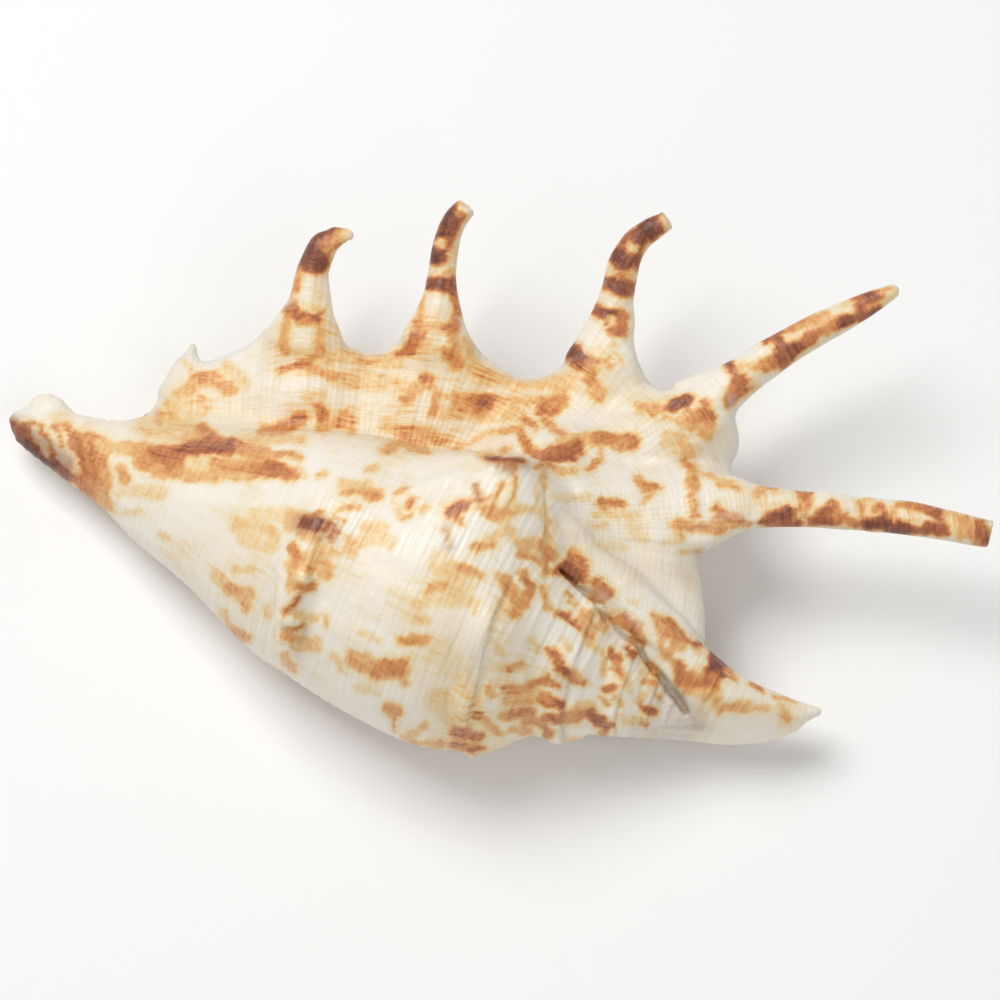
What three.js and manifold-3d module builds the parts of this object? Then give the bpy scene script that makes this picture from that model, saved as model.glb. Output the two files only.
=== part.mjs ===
// A spider conch shell, lying with its mouth down and its back up, as one closed solid.
// Millimetres. +X runs along the coiling axis towards the pointed spire, +Y towards the fingered lip,
// and +Z up through the back. The shell rests on the plane z = 0.
import * as THREE from "three";
import { ParametricGeometry } from "three/addons/geometries/ParametricGeometry.js";
import { mergeVertices } from "three/addons/utils/BufferGeometryUtils.js";
import Module from "manifold-3d";

const wasm = await Module();
wasm.setup();

// The coiling axis lies along X. Its height changes from the spire to the canal.
const APEX_X = 56;
const CANAL_X = -90;
const AXIS_Y = -31.5;
const AXIS_HEIGHT = [
  [-90, 8.5],
  [-72, 10],
  [-56, 12.5],
  [-26, 19],
  [-3, 22],
  [21, 20],
  [56, 16.5],
];

// The body's radius about the axis, on its plain side.
const BODY_RADIUS = [
  [-90, 2.6],
  [-86, 4.6],
  [-73, 7.6],
  [-64, 10],
  [-56, 13.2],
  [-42, 17.8],
  [-36, 20.4],
  [-28, 23.6],
  [-20, 25.8],
  [-7, 28],
  [3, 28.7],
  [13, 27.6],
  [21.4, 23.4],
  [28, 18.6],
  [35.4, 14],
  [44, 8.4],
  [50, 4.4],
  [56, 0.8],
];
const UNDERSIDE_SHARE = 0.8; // the underside is flatter than the plain side
const LIP_SIDE_SHARE = 0.86; // and so is the side that the lip covers

// Whorls of the spire: each seam lies at this share of the last one's distance from the apex.
const WHORL_SHARE = 0.6;
const LAST_SEAM = 34.6; // distance from the apex to the last seam, on the plain side
const WHORL_SWELL = 0.05; // how far the whorls swell out at their seams, over the distance from the apex
const SEAM_FADE = 0.15; // of a whorl, over which the swelling begins
const WHORL_KNOBS = 9;
const KNOB_SWELL = 0.022;

// Swellings of the body, as x, angle round the axis in degrees, height, and spread along and round.
const SWELLINGS = [
  [8.5, 217, 8.6, 7.5, 17],
  [-19, 168, 1.6, 5, 22],
  [-8, 190, -1.8, 4.5, 30],
];

// The nose-like knob beside them, as x, y, z, half width and half height.
const NOSE_KNOB = [
  [-21.4, -33, 41.4, 2.6, 3],
  [-20.4, -40, 41.8, 4, 4],
  [-19, -47, 39.6, 4, 4],
  [-17.6, -52.4, 36.4, 3, 3.2],
  [-17, -55, 34.4, 1.8, 2],
];

// The lip's outline without its fingers, from the notch beside the canal round to the spire.
const LIP_OUTLINE = [
  [-66.9, -26.6],
  [-65.6, -21.5],
  [-65.6, -17],
  [-66.2, -12.5],
  [-66, -8.7],
  [-64.4, -5.2],
  [-61, -5],
  [-57, -3.2],
  [-54.5, -0.4],
  [-52.5, 3.2],
  [-50.2, 6.8],
  [-45, 8.4],
  [-39.8, 5.9],
  [-36.5, 6.6],
  [-32.8, 7],
  [-29.6, 8],
  [-27, 11],
  [-23, 15],
  [-19.5, 18.6],
  [-16.5, 18.2],
  [-14, 16.8],
  [-11, 16],
  [-7, 15.3],
  [-3.6, 15],
  [-0.5, 15.9],
  [3, 18.8],
  [6, 23],
  [10.3, 27.8],
  [13.4, 28.6],
  [16, 27],
  [19, 25.2],
  [22.1, 23.8],
  [25.5, 23.5],
  [29.5, 25.8],
  [34, 27.8],
  [37, 26.4],
  [38, 24],
  [40, 22],
  [40.7, 19.6],
  [40.5, 17.2],
  [42, 15],
  [46, 13],
  [50, 9.4],
  [50, 5.4],
  [46.2, 2.3],
  [43.8, -0.7],
  [43.3, -2.8],
  [44, -5.4],
  [46.4, -8.4],
  [49.2, -12.8],
  [51.2, -18],
  [50, -25],
  [40, -33],
  [20, -37],
  [-8, -39],
  [-34, -39],
  [-56, -34],
];
const LIP_CENTRE = [-5, -13];
const LIP_THICKNESS = 4.6;
const LIP_HEIGHT = 21; // of the sheet's top, beside the fold
const LIP_RISE = 0.1; // per mm outwards
const LIP_DROP = 0.17; // per mm towards the canal, from LIP_DROP_X on
const LIP_DROP_X = -34;
const LIP_ROLL = 1.8; // how far the rim turns down
const SHOULDER = { at: [12, -17], top: 44, slope: 0.62, steep: 2.3 }; // the rise from the lip to the spire
const RIDGE_BLEND = 3;

// Rings of the lip, from the middle of its top over the rim to the middle below: share of the way
// out, and share of the half thickness.
const LIP_SECTION = [
  [0, 1],
  [0.2, 1],
  [0.38, 1],
  [0.54, 1],
  [0.68, 1],
  [0.8, 1],
  [0.9, 1],
  [0.965, 0.86],
  [1, 0.1],
  [0.985, -0.7],
  [0.92, -1],
  [0.7, -1],
  [0.4, -1],
  [0, -1],
];

// The fold where the lip turns out from the mouth. Rows are x, y, z, half width and half height.
const FOLD = [
  [-66, -25.5, 7.5, 4, 4.5],
  [-48, -18.5, 8, 5.6, 8.4],
  [-25, -11.5, 8.4, 6.6, 9.4],
  [0, -5.5, 9, 7, 10],
  [20, -3, 10, 6.8, 10.6],
  [36, -8, 10.6, 5.5, 8],
];

// The edge that the underside makes below the spire, out to the last finger.
const SPIRE_EDGE = [
  [16, -38, 10, 7, 6],
  [30, -36.5, 9, 6, 5],
  [42, -33, 9, 5.4, 4.4],
  [52, -29.6, 9.2, 4.8, 4.2],
  [61, -27, 9.4, 4.2, 3.8],
  [68, -24.6, 10, 2.8, 3],
  [72.2, -22.4, 10.8, 1.4, 1.6],
];

// Fingers, from the canal end round to the spire, each from the back out to its worn tip.
const FINGERS = [
  [
    [-34.5, -8, 18.6, 3, 2.6],
    [-39.5, -2, 20.6, 9.5, 3.2],
    [-42.6, 3.6, 23, 6.2, 3.4],
    [-44.8, 9, 26, 4, 3.4],
    [-46.8, 14, 28.4, 2.9, 2.8],
    [-46.9, 18.6, 30.6, 2.5, 2.4],
    [-44.6, 21.6, 32, 1.9, 1.9],
    [-42.2, 22.2, 32.6, 1.2, 1.2],
  ],
  [
    [-15.5, -2, 19.4, 3, 2.6],
    [-17.9, 6, 21.4, 10.5, 3.2],
    [-20.2, 13.4, 24.4, 6.6, 3.5],
    [-22.2, 19, 27, 4, 3.4],
    [-24.2, 24, 29.4, 2.9, 2.8],
    [-25.8, 29.4, 32, 2.5, 2.5],
    [-26, 33, 34, 2.3, 2.3],
    [-24.9, 36.3, 36, 2, 2],
  ],
  [
    [14.5, 6, 23, 3, 2.6],
    [12.4, 14, 24, 11, 3.2],
    [10.6, 22, 26, 7, 3.6],
    [9.1, 29, 28, 4.6, 3.5],
    [7.7, 35, 30.4, 3.2, 3],
    [6.6, 40.6, 33, 2.8, 2.7],
    [7.6, 45.2, 35.4, 2.4, 2.4],
    [11, 49.8, 38, 2, 2],
  ],
  [
    [17, 4, 27.4, 3, 2.6],
    [25, 13.4, 26.8, 7.5, 3.4],
    [30.6, 21.6, 26.6, 6.2, 3.8],
    [35, 29, 27.4, 4.2, 3.6],
    [39.4, 36.6, 28.8, 3.5, 3.2],
    [44.6, 44, 30.6, 3.1, 3],
    [50, 50.4, 32.8, 2.7, 2.6],
    [55, 56, 35.2, 1.5, 1.5],
  ],
  [
    [20, -7, 33, 3, 3],
    [31, -2.6, 29, 9, 4],
    [39.6, 2.4, 27.2, 8, 4.2],
    [47, 7.6, 26.6, 4.8, 3.8],
    [56, 11.4, 26.6, 3.5, 3.4],
    [66, 15.2, 27, 3.2, 3.1],
    [78, 19.2, 27.6, 3.1, 3],
    [91.2, 22.4, 27.8, 2.6, 2.5],
  ],
  [
    [22, -18.5, 34, 5, 5.6],
    [33, -21.6, 28.4, 7.5, 6.8],
    [44, -23.6, 22.6, 7, 7.4],
    [54, -25.2, 17.6, 6.2, 7.4],
    [62, -24.6, 14.6, 5, 6.2],
    [69, -22.2, 13, 3.8, 4.2],
    [75.4, -18.8, 13.2, 1, 1.2],
  ],
];

const FINGER_ROOT = 2; // the row of a finger where its own tube starts
const SPIRE_FINGER = 5; // except the one beside the spire, whose tube starts at the back
const ROOT_SHARE = 0.8;

// The canal's far wall curls up as a lobe at its tip.
const CANAL_LOBE = { at: [-80.5, -27.6, 9.5], half: [8.5, 4.6, 4.2], turn: 24 };

// The mouth, a narrow slit along the underside that runs out in the canal.
const MOUTH = [
  [-94, -33, -1, 1.8, 3.4],
  [-78, -31.6, -1, 2.2, 4.6],
  [-62, -28, 0, 2.8, 7],
  [-46, -24, 2, 3.6, 10],
  [-26, -19.6, 4, 4.4, 14],
  [0, -15.8, 6, 5, 18],
  [22, -16, 6, 4.4, 16],
  [36, -20, 4, 2.4, 10],
];

// The hollow inside the body runs round the pillar in its middle, and the mouth opens into it.
const WALL = 3.6; // mm of shell outside the hollow
const HOLLOW_X = [22, -58];
const HOLLOW_TURN = [50, 322]; // degrees round the axis
const PILLAR_SHARE = 0.32; // of the body's radius

const BODY_SLICES = 38;
const BODY_SIDES = 32;
const SLICE_CROWDING = 1.25; // above 1, slices crowd towards the spire
const LIP_STEPS = 92;
const HOLLOW_SLICES = 14;
const HOLLOW_SIDES = 24;
const TUBE_STEPS = 11;
const TUBE_SIDES = 12;
const WELD = 1e-4;
const ORIGIN_SHIFT = [-0.9, 1.4, 0]; // brings the middle of the outline to the origin

const SHELL_COLOUR = 0xf0e6cf;

const turnOf = (degrees) => THREE.MathUtils.degToRad(degrees);
const smoothstep = (t) => THREE.MathUtils.smoothstep(t, 0, 1);
const sum = (list) => list.reduce((total, value) => total + value, 0);

// A smooth curve through the rows [x, value] of a table.
function smooth(table, x) {
  const last = table.length - 1;
  let i = 0;
  while (i < last - 1 && x > table[i + 1][0]) i++;
  const slope = (k) => {
    const a = table[Math.max(k - 1, 0)];
    const b = table[Math.min(k + 1, last)];
    return (b[1] - a[1]) / (b[0] - a[0]);
  };
  const span = table[i + 1][0] - table[i][0];
  const t = THREE.MathUtils.clamp((x - table[i][0]) / span, 0, 1);
  const t2 = t * t;
  const t3 = t2 * t;
  return (
    (2 * t3 - 3 * t2 + 1) * table[i][1] +
    (t3 - 2 * t2 + t) * span * slope(i) +
    (3 * t2 - 2 * t3) * table[i + 1][1] +
    (t3 - t2) * span * slope(i + 1)
  );
}

// A closed three.js geometry as a manifold solid with its faces pointing out.
function toSolid(geometry) {
  const bare = new THREE.BufferGeometry();
  bare.setAttribute("position", geometry.getAttribute("position"));
  if (geometry.getIndex()) bare.setIndex(geometry.getIndex());
  const merged = mergeVertices(bare, WELD);
  const corners = merged.getIndex().array;
  const triangles = [];
  for (let i = 0; i < corners.length; i += 3) {
    const [a, b, c] = corners.slice(i, i + 3);
    if (a !== b && b !== c && c !== a) triangles.push([a, b, c]);
  }
  const build = (rows) =>
    new wasm.Manifold(
      new wasm.Mesh({
        numProp: 3,
        vertProperties: merged.getAttribute("position").array,
        triVerts: new Uint32Array(rows.flat()),
      }),
    );
  const made = build(triangles);
  return made.volume() > 0 ? made : build(triangles.map((row) => row.reverse()));
}

// The body's radius at x and at an angle round the axis: 0 is below, a quarter turn is the plain
// side, a half turn is the back and three quarters is the lip side.
function bodyRadius(x, angle) {
  const below = (1 + Math.cos(angle)) / 2;
  const lipwards = Math.max(0, -Math.sin(angle));
  const share =
    1 -
    (1 - UNDERSIDE_SHARE) * below ** 4 -
    (1 - LIP_SIDE_SHARE) * lipwards ** 2;
  const fromApex = Math.max(APEX_X - x, 0.01);
  const seam = LAST_SEAM * WHORL_SHARE ** (0.25 - angle / (2 * Math.PI));
  const whorl = Math.log(seam / fromApex) / Math.log(1 / WHORL_SHARE);
  const uncovered = 1 - smoothstep((angle / (2 * Math.PI) - 0.6) / 0.25);
  const begun = (seams) => smoothstep((whorl - seams) / SEAM_FADE + 1);
  const onSpire = Math.max(begun(0) * uncovered, begun(1));
  const knobs = KNOB_SWELL * Math.cos(WHORL_KNOBS * angle) * Math.cos(Math.PI * whorl) ** 2;
  const swell = onSpire * fromApex * (WHORL_SWELL * Math.cos(2 * Math.PI * whorl) + knobs);
  const humps = SWELLINGS.map(([at, turn, height, long, round]) => {
    const away = ((x - at) / long) ** 2 + ((angle - turnOf(turn)) / turnOf(round)) ** 2;
    return height * Math.exp(-away / 2);
  });
  return Math.max(0, smooth(BODY_RADIUS, x) * share + swell + sum(humps));
}

// A point at a distance from the axis, at an angle round it.
function roundAxis(target, x, angle, radius) {
  return target.set(
    x,
    AXIS_Y - radius * Math.sin(angle),
    smooth(AXIS_HEIGHT, x) - radius * Math.cos(angle),
  );
}

function bodySolid() {
  const point = (u, v, target) => {
    const x = APEX_X - (APEX_X - CANAL_X) * u ** SLICE_CROWDING;
    const angle = 2 * Math.PI * v;
    roundAxis(target, x, angle, u === 0 || u === 1 ? 0 : bodyRadius(x, angle));
  };
  return toSolid(new ParametricGeometry(point, BODY_SLICES, BODY_SIDES));
}

// The hollow has a C-shaped section: out along the body's wall, and back along the pillar.
function hollowSolid() {
  const [start, end] = HOLLOW_TURN;
  const half = HOLLOW_SIDES / 2;
  const point = (u, v, target) => {
    const x = THREE.MathUtils.lerp(HOLLOW_X[0], HOLLOW_X[1], u);
    const full = u === 0 || u === 1 ? 0 : Math.sqrt(Math.sin(Math.PI * u));
    const corner = Math.round(v * HOLLOW_SIDES) % HOLLOW_SIDES;
    const inner = corner >= half;
    const share = (inner ? HOLLOW_SIDES - 1 - corner : corner) / (half - 1);
    const angle = turnOf((start + end) / 2 + (end - start) * (share - 0.5) * full);
    const wall = bodyRadius(x, angle) - WALL;
    const pillar = PILLAR_SHARE * bodyRadius(x, Math.PI);
    const middle = (bodyRadius(x, Math.PI) - WALL + pillar) / 2;
    roundAxis(target, x, angle, THREE.MathUtils.lerp(middle, inner ? pillar : wall, full));
  };
  return toSolid(new ParametricGeometry(point, HOLLOW_SLICES, HOLLOW_SIDES));
}

// A tube through rows of x, y, z, half width and half height, closed at both ends.
function sweptSolid(rows) {
  const path = new THREE.CatmullRomCurve3(rows.map((r) => new THREE.Vector3(r[0], r[1], r[2])));
  const sizes = new THREE.CatmullRomCurve3(rows.map((r) => new THREE.Vector3(r[3], r[4], 0)));
  const point = (u, v, target) => {
    const along = THREE.MathUtils.clamp((u * (TUBE_STEPS + 2) - 1) / TUBE_STEPS, 0, 1);
    const centre = path.getPoint(along);
    const size = sizes.getPoint(along);
    const out = path.getTangent(along);
    const side = new THREE.Vector3(-out.y, out.x, 0).normalize();
    const up = new THREE.Vector3().crossVectors(out, side).normalize();
    const open = u === 0 || u === 1 ? 0 : 1;
    target
      .copy(centre)
      .addScaledVector(side, open * size.x * Math.cos(2 * Math.PI * v))
      .addScaledVector(up, open * size.y * Math.sin(2 * Math.PI * v));
  };
  return toSolid(new ParametricGeometry(point, TUBE_STEPS + 2, TUBE_SIDES));
}

function ellipsoid({ at, half, turn }) {
  const ball = new THREE.SphereGeometry(1, 18, 12);
  ball.scale(...half);
  ball.rotateZ(turnOf(turn));
  ball.translate(...at);
  return toSolid(ball);
}

// The larger of two heights, with a rounded change between them.
function smoothMax(a, b, blend) {
  const t = THREE.MathUtils.clamp(0.5 + (b - a) / (2 * blend), 0, 1);
  return THREE.MathUtils.lerp(a, b, t) + blend * t * (1 - t);
}

// The height of the ridge that a finger makes on the lip: a parabola across its line.
function ridgeTop(rows, x, y) {
  let best = -Infinity;
  for (let i = 0; i + 1 < rows.length; i++) {
    const [a, b] = [rows[i], rows[i + 1]];
    const along = [b[0] - a[0], b[1] - a[1]];
    const t = THREE.MathUtils.clamp(
      ((x - a[0]) * along[0] + (y - a[1]) * along[1]) / (along[0] ** 2 + along[1] ** 2),
      0,
      1,
    );
    const row = a.map((value, k) => THREE.MathUtils.lerp(value, b[k], t));
    const away = Math.hypot(x - row[0], y - row[1]) / row[3];
    best = Math.max(best, row[2] + row[4] * (1 - away * away));
  }
  return best;
}

// The height of the lip's top face.
function lipTop(x, y) {
  const sheet =
    LIP_HEIGHT + LIP_RISE * (y + 5) - LIP_DROP * Math.max(0, LIP_DROP_X - x);
  const dx = x - SHOULDER.at[0];
  const reach = Math.hypot(dx > 0 ? dx : dx * SHOULDER.steep, y - SHOULDER.at[1]);
  const rise = SHOULDER.top - SHOULDER.slope * reach;
  return FINGERS.reduce(
    (top, rows) => smoothMax(top, ridgeTop(rows, x, y), RIDGE_BLEND),
    smoothMax(sheet, rise, 2 * RIDGE_BLEND),
  );
}

// The lip is a thick sheet with ridges that run out into the fingers.
function lipSolid() {
  const rim = new THREE.CatmullRomCurve3(
    LIP_OUTLINE.map(([x, y]) => new THREE.Vector3(x, y, 0)),
    true,
    "centripetal",
  );
  const rings = LIP_SECTION.length - 1;
  const point = (u, v, target) => {
    const edge = rim.getPoint(u % 1);
    const [out, side] = LIP_SECTION[Math.round(v * rings)];
    const x = LIP_CENTRE[0] + (edge.x - LIP_CENTRE[0]) * out;
    const y = LIP_CENTRE[1] + (edge.y - LIP_CENTRE[1]) * out;
    const roll = LIP_ROLL * smoothstep((out - 0.85) / 0.15);
    target.set(x, y, lipTop(x, y) - roll - (LIP_THICKNESS / 2) * (1 - side));
  };
  return toSolid(new ParametricGeometry(point, LIP_STEPS, rings));
}

// A finger's own tube starts inside the ridge that it grows from.
function fingerSolid(rows, n) {
  const [root, ...rest] = rows.slice(n === SPIRE_FINGER ? 0 : FINGER_ROOT);
  const sunk = [...root.slice(0, 3), root[3] * ROOT_SHARE, root[4] * ROOT_SHARE];
  return sweptSolid([sunk, ...rest]);
}

// Everything above the plane that the shell rests on.
function aboveGround() {
  const room = new THREE.BoxGeometry(400, 400, 200);
  room.translate(0, 0, 100);
  return toSolid(room);
}

function shellSolid() {
  return [
    sweptSolid(NOSE_KNOB),
    lipSolid(),
    sweptSolid(FOLD),
    sweptSolid(SPIRE_EDGE),
    ellipsoid(CANAL_LOBE),
    ...FINGERS.map(fingerSolid),
  ]
    .reduce((whole, piece) => whole.add(piece), bodySolid())
    .subtract(sweptSolid(MOUTH))
    .subtract(hollowSolid())
    .intersect(aboveGround());
}

function shellMesh() {
  const made = shellSolid().getMesh();
  const geometry = new THREE.BufferGeometry();
  geometry.setAttribute("position", new THREE.BufferAttribute(made.vertProperties, made.numProp));
  geometry.setIndex(new THREE.BufferAttribute(made.triVerts, 1));
  geometry.translate(...ORIGIN_SHIFT);
  geometry.computeVertexNormals();
  const material = new THREE.MeshStandardMaterial({
    color: SHELL_COLOUR,
    roughness: 0.35,
    metalness: 0,
  });
  const mesh = new THREE.Mesh(geometry, material);
  mesh.name = "shell";
  return mesh;
}

const shell = new THREE.Group();
shell.add(shellMesh());
export default shell;
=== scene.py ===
"""A spider conch shell in its finished looks: the fine surface, its markings, the stage, light and camera.

The surface is one implicit form, made of the same named curves as the solid, in millimetres in the shell's
own frame: +X along the coiling axis towards the spire, +Y towards the fingered lip, +Z up.
"""

import math

import bpy
import numpy as np
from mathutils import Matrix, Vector


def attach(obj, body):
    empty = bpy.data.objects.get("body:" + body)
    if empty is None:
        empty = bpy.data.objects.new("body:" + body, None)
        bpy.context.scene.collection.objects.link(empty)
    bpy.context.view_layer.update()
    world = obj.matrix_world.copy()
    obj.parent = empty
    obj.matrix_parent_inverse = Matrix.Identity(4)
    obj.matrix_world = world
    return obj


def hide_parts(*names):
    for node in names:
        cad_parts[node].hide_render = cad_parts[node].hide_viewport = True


MM = 0.001
SHIFT = np.array([-0.9, 1.4, 0.0])  # from the shell's own frame to the row's
STEP = 0.78  # of the grid that the surface is taken from
LOW, HIGH = (-94.0, -63.0, -2.0), (95.0, 61.0, 55.0)  # its corners

APEX_X = 56.0
CANAL_X = -90.0
AXIS_Y = -31.5
AXIS_HEIGHT = [(-90, 8.5), (-72, 10), (-56, 12.5), (-26, 19), (-3, 22), (21, 20), (56, 16.5)]
BODY_RADIUS = [
    (-90, 1.2), (-86.5, 4), (-73, 7.6), (-64, 10), (-56, 13.2), (-42, 17.8), (-36, 20.4), (-28, 23.6),
    (-20, 25.8), (-7, 28), (3, 28.7), (13, 27.6), (21.4, 23.4), (28, 18.6), (35.4, 14), (44, 8.4),
    (50, 4.4), (56, 0.8),
]
UNDERSIDE_SHARE = 0.8  # of the radius, where the shell lies on its callus
LIP_SIDE_SHARE = 0.86

# The spire. Its swellings are shares of the distance to the apex, and its lengths are in whorls.
WHORL_SHARE = 0.6  # of that distance, left after each whorl
LAST_SEAM = 34.6  # that distance at the first seam
WHORL_SWELL = 0.036
WHORL_KNOBS = 9
KNOB_SWELL = 0.03
SEAM_FADE = 0.32
COVERED_FROM, COVER_FADE = 0.44, 0.12  # the turn from which the lip covers the first seam
SEAM_STEP = 0.032  # the drop beyond each seam
SEAM_STEP_LENGTH = 0.08
SEAM_EDGE = 0.02

# Swellings of the body: x, angle round the axis in degrees, height, spread along and round.
SWELLINGS = [(8.5, 217, 8.6, 7.5, 17), (-19, 168, 1.6, 5, 22), (-8, 190, -1.8, 4.5, 30)]

LIP_OUTLINE = [
    (-66.9, -26.6), (-65.6, -21.5), (-65.6, -17), (-66.2, -12.5), (-66, -8.7), (-65.2, -6.2), (-64.2, -3.4),
    (-62.6, -5.4), (-60.6, -6.4), (-57, -3.2), (-54.5, -0.4), (-52.5, 3.2), (-50.2, 6.8), (-45, 8.4),
    (-39.8, 5.9), (-36.5, 6.6), (-32.8, 7), (-29.6, 8), (-27, 11), (-23, 15), (-19.5, 18.6), (-16.5, 18.2),
    (-14, 16.8), (-11, 16), (-7, 15.3), (-3.6, 15), (-0.5, 15.9), (3, 18.8), (6, 23), (10.3, 27.8),
    (13.4, 28.6), (16, 27), (19, 25.2), (22.1, 23.8), (25.5, 23.5), (29.5, 25.8), (34, 27.8), (37, 26.4),
    (38, 24), (40, 22), (40.7, 19.6), (40.5, 17.2), (42, 15), (46, 13), (50, 9.4), (50, 5.4), (46.2, 2.3),
    (43.8, -0.7), (43.3, -2.8), (44, -5.4), (46.4, -8.4), (49.2, -12.8), (51.2, -18), (50, -22),
    (42, -24.5), (31, -24), (20, -27), (4, -37), (-8, -39), (-34, -39), (-56, -34),
]
LIP_THICKNESS = 4.6
LIP_HEIGHT = 21.0  # of its top face
LIP_RISE = 0.1  # slope towards the fingers, past LIP_RISE_Y
LIP_RISE_Y = -5.0
LIP_DROP = 0.17  # slope towards the canal, past LIP_DROP_X
LIP_DROP_X = -34.0
LIP_ROLL = 1.8  # how far the rim turns down
LIP_ROLL_WIDTH = 6.0
LIP_EDGE = 2.0  # radius of the rim
SHOULDER_AT = (12.0, -17.0)  # the cone by which the lip rises to the hump
SHOULDER_TOP = 44.0
SHOULDER_SLOPE = 0.62
SHOULDER_STEEP = 2.3  # how much steeper it is towards the canal
RIDGE_BLEND = 3.0

# Tubes, with rows of x, y, z, half width and half height.
NOSE_KNOB = [
    (-21.4, -33, 42, 2.4, 3), (-20.4, -40, 42.8, 3.6, 4), (-19, -47, 40.8, 3.6, 4),
    (-17.6, -52.4, 37.4, 2.8, 3.2), (-17, -55.4, 35.4, 1.9, 2),
]
FOLD = [
    (-66, -25.5, 7.5, 4, 4.5), (-48, -18.5, 8, 5.6, 8.4), (-25, -11.5, 8.4, 6.6, 9.4), (0, -5.5, 9, 7, 10),
    (20, -3, 10, 6.8, 10.6), (36, -8, 10.6, 5.5, 8),
]
SPIRE_EDGE = [
    (16, -38, 10, 7, 6), (30, -36.5, 9, 6, 5), (42, -33, 9, 5.4, 4.4), (52, -29.6, 9.2, 4.8, 4.2),
    (61, -27, 9.4, 4.2, 3.8), (68, -24.6, 10, 2.8, 3), (72.2, -22.4, 10.8, 1.4, 1.6),
]
CANAL_LOBE = [
    (-87, -28.8, 9.6, 0.8, 1.6), (-86, -28.2, 9.6, 2.6, 3), (-84, -28, 9.6, 3.8, 4),
    (-80.5, -29, 9.6, 3.6, 3.8), (-76.5, -30, 9.4, 2.6, 3), (-72.5, -30.6, 9.4, 1.6, 2.4),
]
FINGERS = [
    [
        (-34.5, -8, 18.6, 3, 2.6), (-39.5, -2, 20.6, 9.5, 3.2), (-42.6, 3.6, 23, 6.2, 3.4),
        (-44.8, 9, 26, 4, 3.4), (-46.8, 14, 28.4, 2.9, 2.8), (-46.9, 18.6, 30.6, 2.5, 2.4),
        (-45, 21.4, 32, 1.7, 1.7), (-43.2, 22.3, 32.6, 0.9, 0.9),
    ],
    [
        (-15.5, -2, 19.4, 3, 2.6), (-17.9, 6, 21.4, 10.5, 3.2), (-20.2, 13.4, 24.4, 6.6, 3.5),
        (-22.2, 19, 27, 4, 3.4), (-24.2, 24, 29.4, 2.9, 2.8), (-25.8, 29.4, 32, 2.5, 2.5),
        (-26, 33, 34, 2.3, 2.3), (-24.9, 36.3, 36, 2, 2),
    ],
    [
        (14.5, 6, 23, 3, 2.6), (12.4, 14, 24, 11, 3.2), (10.6, 22, 26, 7, 3.6), (9.1, 29, 28, 4.6, 3.5),
        (7.7, 35, 30.4, 3.2, 3), (6.6, 40.6, 33, 2.8, 2.7), (7.6, 45.2, 35.4, 2.4, 2.4),
        (11, 49.8, 38, 2, 2),
    ],
    [
        (17, 4, 27.4, 3, 2.6), (25, 13.4, 26.8, 7.5, 3.4), (30.6, 21.6, 26.6, 6.2, 3.8),
        (35, 29, 27.4, 4.2, 3.6), (39.4, 36.6, 28.8, 3.5, 3.2), (44.6, 44, 30.6, 3.1, 3),
        (50, 50.4, 32.8, 2.7, 2.6), (55, 56, 35.2, 1.5, 1.5),
    ],
    [
        (20, -7, 33, 3, 3), (31, -2.6, 29, 9, 4), (39.6, 2.4, 27.2, 8, 4.2), (47, 7.6, 26.6, 4.8, 3.8),
        (56, 11.4, 26.6, 3.5, 3.4), (66, 15.2, 27, 3.2, 3.1), (78, 19.2, 27.6, 3.1, 3),
        (91.2, 22.4, 27.8, 2.6, 2.5),
    ],
    [
        (22, -17.5, 34, 4.4, 5.6), (33, -19.6, 28.4, 5.6, 6.8), (44, -22, 22.6, 5.6, 7.4),
        (54, -25.2, 17.6, 6, 7.4), (62, -24.6, 14.6, 5, 6.2), (69, -22.2, 13, 3.8, 4.2),
        (75.4, -18.8, 13.2, 1, 1.2),
    ],
]
FINGER_ROOT = 2  # the row of a finger where its own tube starts
SPIRE_FINGER = 5  # except the one beside the spire, whose tube starts at the back
BLUNT_FINGERS = (1, 2, 4)  # those that end in a cut

MOUTH = [
    (-94, -33, -1, 1.8, 3.4), (-78, -31.6, -1, 2.2, 4.6), (-62, -28, 0, 2.8, 7), (-46, -24, 2, 3.6, 10),
    (-26, -19.6, 4, 4.4, 14), (0, -15.8, 6, 5, 18), (22, -16, 6, 4.4, 16), (36, -20, 4, 2.4, 10),
]
# The narrow gap between the last finger and the spire under it.
CREVICE = [
    (22.5, -23, 39, 0.3, 1.6), (28, -23.5, 36.5, 0.6, 2), (32, -24.5, 35.5, 0.7, 2), (34, -26, 34, 0.7, 2),
    (38, -26.5, 32, 0.7, 2), (41, -26, 30, 0.7, 2), (43, -27.5, 28, 0.7, 2), (45.5, -28, 26.5, 0.7, 2),
    (48, -29, 24.5, 0.7, 2), (52, -30.5, 21.5, 0.7, 2), (54.5, -31.5, 19, 0.4, 1.4),
]

# Rays of the lip: x and y of both ends, from the fold out to the rim. Threads follow them.
LIP_RAYS = [
    (-68, -28, -66.5, -20), (-60, -26, -66, -8), (-48, -22, -57, -3), (-36, -16, -46, 9),
    (-26, -13, -33, 7), (-16, -9, -23, 20), (-6, -6, -4, 15), (4, -8, 9, 29), (9, -10, 24, 23.5),
    (12, -12, 36, 29), (14, -13, 41, 18), (15.5, -15, 50, 9), (17, -17, 44, -4), (18.5, -19, 51, -17),
    (20, -21, 58, -24),
]

# The hollow of the last whorl, between the wall and the pillar.
WALL = 3.6
HOLLOW_X = (22.0, -58.0)
HOLLOW_TURN = (50.0, 322.0)  # degrees round the axis
HOLLOW_CORE = 3.0
HOLLOW_JOINT = 2.5
PILLAR_SHARE = 0.32

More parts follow.
